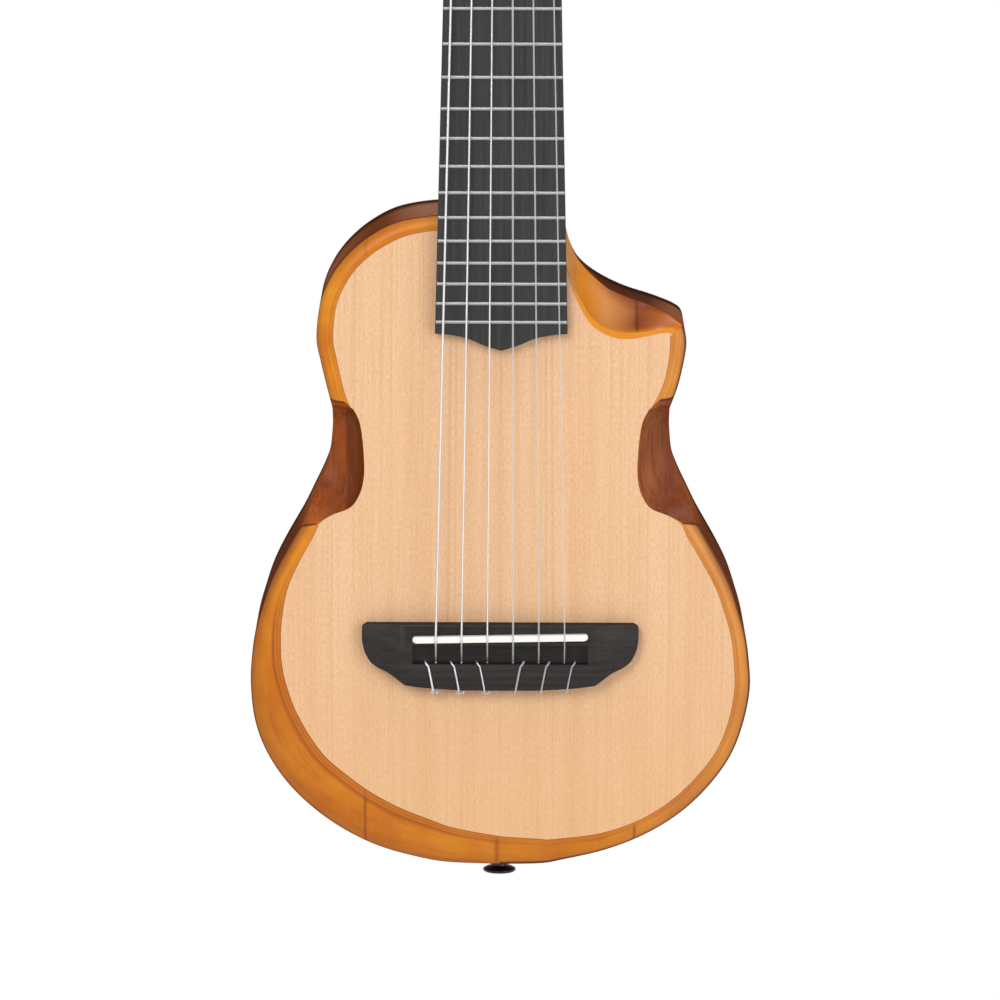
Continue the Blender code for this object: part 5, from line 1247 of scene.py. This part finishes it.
def make_frets():
    """The frets, half round with beaded ends, in one piece."""
    bm = bmesh.new()
    for number in range(1, FRET_COUNT + 1):
        z = fret_z(number)
        reach = board_half(z) - 0.0003
        rises = [math.sin(angle) for angle in arc(QUARTER, 6)]
        ends = [(-reach + FRET_BEAD * (1.0 - rise), 0.30 + 0.70 * rise) for rise in rises]
        rings = []
        for x, size in ends + [(-x, size) for x, size in reversed(ends)]:
            high, half = (FRET_HEIGHT + FRET_SUNK) * size, FRET_WIDTH / 2.0 * size
            arch = [(x, BOARD_TOP + FRET_SUNK - high * math.sin(angle), z + half * math.cos(angle))
                    for angle in arc(math.pi, 12)]
            rings.append([bm.verts.new(point) for point in arch])
        join_rings(bm, rings)
        bm.faces.new(rings[0])
        bm.faces.new(rings[-1])
    keep("frets", close_up(bm, "frets"), "fret", "steel", angle=50.0)


def make_veneer():
    right = [(half - GLUE, u + GLUE) for u, half in spline_rows(HEAD_SIDE, 4)]
    right += [(x - GLUE, u - GLUE) for x, u in spline_rows(HEAD_TOP, 4)[:-1]]
    mesh = slab("veneer", mirrored(right + [(0.0, HEAD_LENGTH - GLUE)]), GLUE, VENEER_FACE, 0.0004)
    mesh = carve(moved(mesh, HEAD_FRAME @ FORWARD), post_drills(-0.01, 0.01, FERRULE_RADIUS + CLEAR))
    stand_in("headstock_veneer", mesh, "board", "dark_wood")


# Tuners

def gear_mesh():
    """The gear wheel with round-cornered teeth; one of them points along -y, at the worm."""
    outline = []
    step = 2.0 * math.pi / GEAR_TEETH
    flank = ((-0.5, GEAR_ROOT), (-0.32, GEAR_ROOT + 0.0001), (-0.16, GEAR_RADIUS - 0.0002),
             (-0.09, GEAR_RADIUS), (0.09, GEAR_RADIUS), (0.16, GEAR_RADIUS - 0.0002),
             (0.32, GEAR_ROOT + 0.0001))
    for turn in circle(GEAR_TEETH):
        outline += [polar(radius, -QUARTER + turn + share * step) for share, radius in flank]
    return slab("gear", outline, GEAR_BACK, -GEAR_FRONT, 0.0002, 2)


def string_hole_height(number):
    diameter = STRING_DIAMETERS[number - 1]
    return VENEER_FACE + WINDING_START + diameter / 2.0 + (diameter + WINDING_GAP) * (WINDING_TURNS + 1.0)


def on_head(side, u):
    """Places a turned piece on the headstock: local Z points out of its face."""
    return HEAD_FRAME @ Matrix.Translation((side * POST_X, 0.0, u)) @ FORWARD


def make_post(number, side, u):
    """The string post with its hole, its gear wheel and the wheel's screw."""
    waist = POST_RADIUS - 0.00035
    hole = string_hole_height(number)
    profile = [(0.0004, POST_TOP)]
    profile += [(POST_RADIUS - POST_DOME + POST_DOME * math.sin(angle),
                 POST_TOP - POST_DOME * (1.0 - math.cos(angle))) for angle in arc(QUARTER, 5)]
    profile += [(POST_RADIUS, VENEER_FACE + WINDING_START + 0.0005), (POST_RADIUS, GEAR_BACK + 0.0002),
                (waist, GEAR_BACK - 0.0004), (waist - 0.0006, GEAR_BACK - 0.0008)]
    bore = bar("bore", (-POST_RADIUS * 2.0, 0.0, hole), (POST_RADIUS * 2.0, 0.0, hole),
               STRING_DIAMETERS[number - 1] / 2.0 + CLEAR, 20)
    post = carve(revolve("post", profile, 40), [bore])
    wheel = carve(gear_mesh(), [bar("bore", (0.0, 0.0, -0.03), (0.0, 0.0, 0.0), POST_RADIUS, 40)])
    screw = revolve("gear_screw", [(0.0019, GEAR_BACK - 0.0006), (0.0019, GEAR_BACK - 0.0007),
                                   (0.0016, GEAR_BACK - 0.00078)], 32)
    name, body, place = "tuner_post_%d" % number, "post_%d" % number, on_head(side, u)
    stand_in(name, moved(post, place), "black", "black_metal", body=body)
    keep(name + "_gear", moved(wheel, place), "gear", "steel", body, angle=28.0)
    keep(name + "_screw", moved(screw, place), "steel", "steel", body)


def worm_radius_at(angle, z):
    wave = math.cos(angle - 2.0 * math.pi * z / WORM_PITCH + math.pi)
    shaped = math.copysign(abs(wave) ** 0.6, wave)
    return (WORM_RADIUS + WORM_ROOT) / 2.0 + (WORM_RADIUS - WORM_ROOT) / 2.0 * shaped


def make_knob(number, side, u):
    """The worm on its shaft, and the oval button with a rounded body."""
    half = WORM_LENGTH / 2.0
    shaft_end = HEAD_HALF - POST_X + BUTTON_GAP
    inner = -half - LUG_THICKNESS - 2.0 * CLEAR - 0.0008
    before = ((inner, SHAFT_RADIUS - 0.0003), (inner + 0.0003, SHAFT_RADIUS), (-half, SHAFT_RADIUS))
    after = ((half, SHAFT_RADIUS), (shaft_end - 0.0018, SHAFT_RADIUS), (shaft_end - 0.0014, COLLAR_RADIUS),
             (shaft_end + 0.0004, COLLAR_RADIUS), (shaft_end + 0.0006, SHAFT_RADIUS))
    rings = [[(*polar(radius, angle), z) for angle in circle(WORM_SIDES)] for z, radius in before]
    for k in range(WORM_STEPS + 1):
        z = -half + WORM_LENGTH * k / WORM_STEPS
        taper = 0.35 + 0.65 * min(1.0, min(k, WORM_STEPS - k) / 4.0)
        rings.append([(*polar(WORM_ROOT + (worm_radius_at(angle, z) - WORM_ROOT) * taper, angle), z)
                      for angle in circle(WORM_SIDES)])
    rings += [[(*polar(radius, angle), z) for angle in circle(WORM_SIDES)] for z, radius in after]
    shaft = skin("shaft", rings)
    rings = []
    for k in range(BUTTON_STEPS + 1):
        t = k / BUTTON_STEPS
        z = shaft_end + 0.0004 + BUTTON_LENGTH * (0.5 - 0.5 * math.cos(math.pi * t))
        swell = math.sin(math.pi * (0.06 + 0.88 * t)) ** 0.62
        thick, wide = BUTTON_HALF_THICKNESS * (0.42 + 0.58 * swell), BUTTON_HALF_WIDTH * swell
        unit = [polar(1.0, angle) for angle in circle(BUTTON_SIDES)]
        rings.append([(thick * math.copysign(abs(c) ** 0.9, c), wide * math.copysign(abs(s) ** 0.9, s), z)
                      for c, s in unit])
    name, body, place = "tuner_knob_%d" % number, "knob_%d" % number, HEAD_FRAME @ knob_matrix(side, u)
    stand_in(name, moved(shaft, place), "steel", "black_metal", "_worm", body=body, angle=60.0)
    keep(name + "_button", moved(skin("button", rings), place), "button", "black_metal", body, angle=50.0)


def knob_matrix(side, u):
    """Places a knob: its local Z points outward, and its local X at the gear wheel."""
    out = Vector((side, 0.0, 0.0))
    at_gear = Vector((0.0, 0.0, 1.0))
    turn = Matrix((at_gear, out.cross(at_gear), out)).transposed().to_4x4()
    return Matrix.Translation((side * POST_X, GEAR_MIDDLE, u - WORM_DISTANCE)) @ turn


def make_plate(name, side):
    """A tuner plate with its lugs and bores, rounded, and the wood screws that hold it."""
    low = POST_FIRST - WORM_DISTANCE - 0.0060
    high = POST_FIRST + 2.0 * POST_SPACING + 0.0120
    front = HEAD_THICKNESS + GLUE
    middle = side * POST_X
    left, right = middle - PLATE_HALF_WIDTH, middle + PLATE_HALF_WIDTH
    plate = block("plate", (left, front, low), (right, PLATE_BACK, high), 0.0003, 2)
    lugs, bores = [], []
    for order in range(3):
        u = POST_FIRST + order * POST_SPACING
        z = u - WORM_DISTANCE
        for end in (-1, 1):
            near = middle + end * (WORM_LENGTH / 2.0 + CLEAR)
            left, right = sorted((near, near + end * LUG_THICKNESS))
            lugs.append(block("lug", (left, PLATE_BACK - 0.0005, z - LUG_HALF_WIDTH),
                              (right, GEAR_MIDDLE + LUG_HALF_WIDTH, z + LUG_HALF_WIDTH), 0.0003, 2))
        bores.append(bar("bore", (middle - 0.02, GEAR_MIDDLE, z), (middle + 0.02, GEAR_MIDDLE, z),
                         SHAFT_RADIUS + CLEAR))
        bores.append(bar("bore", (middle, front - 0.01, u), (middle, PLATE_BACK + 0.01, u),
                         POST_RADIUS + CLEAR, 32))
    mesh = carve(carve(plate, lugs, "UNION"), bores)
    stand_in(name, moved(mesh, HEAD_FRAME), "black", "black_metal")
    between = [POST_FIRST + POST_SPACING * share for share in (0.42, 1.42)]
    for order, u in enumerate((low + 0.0028, *between, high - 0.0030), 1):
        head = revolve("screw", [(0.0018, 0.0), (0.0018, 0.0002), (0.0014, 0.0006), (0.0006, 0.00075)], 28)
        slots = [block("slot", (-x, -y, 0.0003), (x, y, 0.0010))
                 for x, y in ((0.0013, 0.00022), (0.00022, 0.0013))]
        place = HEAD_FRAME @ Matrix.Translation((middle, PLATE_BACK, u)) @ Matrix.Rotation(-QUARTER, 4, "X")
        keep("%s_screw_%d" % (name, order), moved(carve(head, slots), place), "black", "black_metal")


def make_tuners():
    make_plate("tuner_plate_bass", -1)
    make_plate("tuner_plate_treble", 1)
    face = VENEER_FACE + GLUE
    bore = POST_RADIUS + CLEAR
    top = face + FERRULE_FLANGE_THICKNESS
    wide = FERRULE_FLANGE
    profile = [(bore, top - 0.0002), (bore + 0.0002, top), (wide - 0.0009, top),
               (wide - 0.0003, top - 0.0002), (wide, top - 0.0007), (wide, face), (FERRULE_RADIUS, face),
               (FERRULE_RADIUS, -FERRULE_DEPTH), (bore, -FERRULE_DEPTH)]
    for number, side, u in post_places():
        make_post(number, side, u)
        make_knob(number, side, u)
        ring = revolve("ferrule", profile, closed=True)
        stand_in("ferrule_%d" % number, moved(ring, on_head(side, u)), "black", "black_metal")


# Nut, saddle, bridge and end pin

def string_x(number, spread):
    return spread * (0.5 - (number - 1) / 5.0)


def make_nut():
    mesh = block("nut", (-NUT_WIDTH / 2.0, -GLUE - NUT_HEIGHT, 0.0), (NUT_WIDTH / 2.0, -GLUE, NUT_THICKNESS),
                 0.0007, 4)
    slots = []
    for number in STRING_NUMBERS:
        x = string_x(number, NUT_SPREAD)
        half = STRING_DIAMETERS[number - 1] / 2.0 + 0.00005
        middle = NUT_SLOT_Y - half
        section = [(x - half, middle), (x - half * 2.0, -0.02), (x + half * 2.0, -0.02), (x + half, middle)]
        section += [(x + half * math.cos(a), middle + half * math.sin(a)) for a in arc(math.pi, 6)[1:-1]]
        slots.append(skin("slot", [[(px, py, z) for px, py in section] for z in (-0.01, 0.02)]))
    stand_in("nut", carve(mesh, slots), "bone", "bone")


def bridge_outline():
    """The bridge from the front: straight above, rounded wings, and a curved tie block below."""
    top, half, low = BRIDGE_ABOVE_SADDLE, BRIDGE_HALF, -BRIDGE_TAIL
    corner = [(half - 0.0030, top), (half - 0.0006, top - 0.0010), (half, top - 0.0030),
              (half - 0.0002, -0.0030), (half - 0.0016, -0.0080), (half - 0.0040, -0.0120),
              (half - 0.0075, -0.0146), (half - 0.0125, -0.0170),
              (TIE_HALF + 0.0015, low + 0.0032), (TIE_HALF - 0.0006, low + 0.0024),
              (TIE_HALF - 0.0100, low + 0.0012), (TIE_HALF * 0.4, low + 0.0002)]
    return mirrored(spline_rows(corner, 4), 0)


def make_bridge():
    mesh = slab("bridge", bridge_outline(), -BRIDGE_HEIGHT / 2.0, BRIDGE_HEIGHT / 2.0, 0.0009, 4)
    place = Matrix.Translation((0.0, -GLUE - BRIDGE_HEIGHT / 2.0, SADDLE_Z))
    mesh = moved(mesh, place @ FORWARD)
    tools = []
    wing_end = BRIDGE_HALF + 0.004
    for side in (-1, 1):
        section = []
        for k in range(17):
            t = k / 16.0
            fall = (BRIDGE_HEIGHT - BRIDGE_WING_HEIGHT) * math.sin(QUARTER * min(1.0, t * 1.15)) ** 1.5
            section.append((side * (TIE_HALF + (wing_end - TIE_HALF) * t), BRIDGE_TOP + fall))
        section += [(side * wing_end, -0.03), (side * TIE_HALF, -0.03)]
        ends = (SADDLE_Z - 0.06, SADDLE_Z + 0.06)
        tools.append(skin("wing", [[(x, y, z) for x, y in section] for z in ends]))
    recess_end = SADDLE_Z - SADDLE_THICKNESS / 2.0 - 0.0022
    tools.append(block("recess", (-SADDLE_LENGTH / 2.0, BRIDGE_TOP - 0.01, TIE_BLOCK_Z),
                       (SADDLE_LENGTH / 2.0, BRIDGE_TOP + RECESS_DEPTH, recess_end)))
    tools.append(saddle_mesh(0.00005))
    for number in STRING_NUMBERS:
        x = string_x(number, SADDLE_SPREAD)
        beside = x + (TIE_REACH if number <= 3 else -TIE_REACH)
        for place, end in ((x, BRIDGE_END_Z - 0.01), (beside, TIE_BLOCK_Z - 0.004)):
            tools.append(bar("hole", (place, -TIE_HOLE_HEIGHT, TIE_BLOCK_Z + 0.004),
                             (place, -TIE_HOLE_HEIGHT, end), STRING_DIAMETERS[number - 1] / 2.0 + CLEAR, 20))
    stand_in("bridge", soften(carve(mesh, tools), 0.0002, 2), "bridge", "dark_wood", angle=40.0)


def saddle_mesh(margin):
    """The saddle, or its slot where a margin is given: a bar with round ends and a rounded top."""
    radius = SADDLE_THICKNESS / 2.0 + margin
    reach = SADDLE_LENGTH / 2.0 + margin - radius
    turns = [polar(radius, -QUARTER + angle) for angle in arc(math.pi, 16)]
    outline = [(reach + x, y) for x, y in turns] + [(-reach - x, -y) for x, y in turns]
    bottom = BRIDGE_TOP + SADDLE_SLOT_DEPTH
    mesh = slab("saddle", outline, -bottom, -SADDLE_TOP, 0.0 if margin else 0.0008, 4)
    place = Matrix.Translation((0.0, 0.0, SADDLE_Z)) @ Matrix.Rotation(-SADDLE_SLANT, 4, "Y")
    return moved(mesh, place @ FORWARD)


def make_end_pin():
    shaft, head, end = PIN_SHAFT_RADIUS, PIN_HEAD_RADIUS, -PIN_LENGTH
    profile = [(shaft, PIN_SHAFT_LENGTH), (shaft, -GLUE), (head - 0.0008, -GLUE), (head - 0.0008, -0.0013),
               (head - 0.0012, -0.0017), (shaft + 0.0006, -0.0028), (shaft, -0.0044),
               (shaft + 0.0004, -0.0056), (head - 0.0024, end + 0.0027), (head - 0.0004, end + 0.0018),
               (head, end + 0.0012), (head - 0.0001, end + 0.0006), (head - 0.0007, end + 0.0001),
               (head - 0.0020, end)]
    pin = moved(revolve("end_pin", profile, 64), Matrix.Translation((0.0, PIN_Y, TAIL_Z)))
    stand_in("end_pin", pin, "black", "black_metal", angle=50.0)


# Strings

def straight(start, end, steps):
    """Points from start to end, both included."""
    return [Vector(start).lerp(Vector(end), k / steps) for k in range(steps + 1)]


def smooth(points, steps):
    return [Vector(row) for row in spline_rows([tuple(p) for p in points], steps)]


def tie_points(number):
    """The string's tail: out of its hole behind the tie block, over it and into a second hole in front."""
    x = string_x(number, SADDLE_SPREAD)
    lean = 1.0 if number <= 3 else -1.0
    hole = -TIE_HOLE_HEIGHT
    over = BRIDGE_TOP - 0.0001 - STRING_DIAMETERS[number - 1] / 2.0
    front, rear = TIE_BLOCK_Z, BRIDGE_END_Z
    rows = ((TIE_REACH, hole, front - 0.0030), (TIE_REACH, hole, front + 0.0002),
            (TIE_REACH, hole - 0.0010, front + 0.0009), (TIE_REACH - 0.0002, over + 0.0010, front + 0.0008),
            (TIE_REACH - 0.0009, over, front - 0.0002), (TIE_REACH - 0.0017, over, front - 0.0016),
            (0.0015, over, rear + 0.0018), (0.0012, over + 0.0005, rear - 0.0002),
            (0.0006, hole - 0.0020, rear - 0.0014), (0.0, hole - 0.0002, rear - 0.0012),
            (0.0, hole, rear + 0.0004))
    return [(x + lean * aside, y, z) for aside, y, z in rows]


def make_string(number):
    """The string from its tie to its post, and the turns round the post, which go with the post."""
    side, u = post_places()[number - 1][1:]
    radius = STRING_DIAMETERS[number - 1] / 2.0
    saddle_x, nut_x = string_x(number, SADDLE_SPREAD), string_x(number, NUT_SPREAD)
    saddle_z = SADDLE_Z + math.tan(SADDLE_SLANT) * saddle_x
    saddle_y, nut_y, hole_y = SADDLE_TOP - radius, NUT_SLOT_Y - radius, -TIE_HOLE_HEIGHT
    half = SADDLE_THICKNESS / 2.0
    turn_radius = POST_RADIUS + 0.0001 + radius
    start = VENEER_FACE + WINDING_START + radius
    first = (math.pi if side > 0 else 0.0) + math.atan2(side * POST_X - side * turn_radius - nut_x, u)

    def round_post(angle, reach, height):
        x, up = polar(turn_radius * reach, angle)
        return head_point(side * POST_X + x, -height, u + up)

    over_saddle = (saddle_x, saddle_y + 0.00005, saddle_z + half)
    route = smooth(tie_points(number), 5)
    route.append(Vector((saddle_x, hole_y, TIE_BLOCK_Z - 0.0004)))
    route += smooth([(saddle_x, hole_y, TIE_BLOCK_Z + 0.0002),
                     (saddle_x, hole_y - 0.0004, TIE_BLOCK_Z + 0.0012),
                     (saddle_x, saddle_y + 0.0011, saddle_z - half - 0.0010),
                     (saddle_x, saddle_y + 0.0002, saddle_z - half + 0.0004),
                     (saddle_x, saddle_y, saddle_z), over_saddle], 4)
    route += straight(over_saddle, (nut_x, nut_y, -0.0004), 40)[1:-1]
    route += smooth([(nut_x, nut_y, -0.0004), (nut_x, nut_y - 0.00005, NUT_THICKNESS * 0.5),
                     (nut_x, nut_y + 0.0001, NUT_THICKNESS - 0.0002)], 3)
    route += straight((nut_x, nut_y + 0.0001, NUT_THICKNESS), round_post(first, 1.0, start), 12)[1:]

    angles = [first - side * turn for turn in arc(2.0 * math.pi * WINDING_TURNS, 2 * TURN_STEPS)]
    level = [round_post(angle, 1.0, start) for angle in angles[:TURN_STEPS]]
    pitch = 2.0 * radius + 0.00008
    turns = [round_post(angle, 1.0, start + pitch * (0.25 + 0.875 * k / TURN_STEPS))
             for k, angle in enumerate(angles)]
    last = angles[-1]
    goal = (math.floor((last - 0.5) / math.pi) if side > 0 else math.ceil((last + 0.5) / math.pi)) * math.pi
    top = start + pitch * WINDING_TURNS
    hole = string_hole_height(number)
    for k in range(1, 15):
        share = k / 14.0
        climb = min(1.0, share * 1.15)
        climb = climb * climb * (3.0 - 2.0 * climb)
        turns.append(round_post(last + (goal - last) * share, 1.0 + 0.06 * math.sin(math.pi * share),
                                top + (hole - top) * climb))
    turns += [round_post(goal, reach, hole) for reach in (0.62, 0.2, -0.4, -1.0, -1.45)]
    turns.append(round_post(goal, -1.62, hole - 0.0004))

    finish, slot = ("nylon", "nylon") if number <= 3 else ("wound", "wound_string")
    name, body = "string_%d" % number, "post_%d" % number
    stand_in(name, tube("run", route, radius, 12), finish, slot, "_run", angle=60.0)
    keep(name + "_turn", tube("turn", level + level[:2], radius, 12), finish, slot, body, angle=60.0)
    keep(name + "_winding", tube("winding", turns, radius, 12), finish, slot, body, angle=60.0)


def make_string_ends():
    """The frayed silk ends of the three wound strings, behind the tie block."""
    for number in (4, 5, 6):
        x = string_x(number, SADDLE_SPREAD) - 0.0006
        points = []
        for k in range(26):
            reach = 0.0016 + 0.0007 * math.sin(2.3 * k + number)
            across, up = polar(reach, 0.9 * k)
            y = -0.0062 - 0.0006 * math.sin(1.7 * k)
            points.append((x + across, y, BRIDGE_END_Z - 0.0011 + up * 0.35))
        mesh = tube("end", smooth(points, 3), 0.00012, 8)
        keep("string_%d_end" % number, mesh, "silk", "nylon", angle=60.0)


# The inner pieces keep the CAD's shape

def dress(name, finish):
    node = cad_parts[name]
    for slot in node.material_slots:
        slot.material = finishes[finish]


bpy.context.scene.view_settings.view_transform = "Standard"
make_camera()
make_light()
make_floor()
make_body()
make_neck()
make_heel_cap()
make_fretboard()
make_frets()
make_veneer()
make_tuners()
make_nut()
make_bridge()
stand_in("saddle", saddle_mesh(0.0), "bone", "bone", angle=40.0)
make_end_pin()
for string_number in STRING_NUMBERS:
    make_string(string_number)
make_string_ends()
for inner_name in ("head_block", "tail_block", "bridge_plate", "top_lining_bass", "top_lining_treble",
                   "back_lining_bass", "back_lining_treble", "top_brace_upper", "top_brace_lower",
                   "back_brace_upper", "back_brace_lower", "fan_brace_bass", "fan_brace_treble"):
    dress(inner_name, "inner")
dress("truss_rod", "steel")
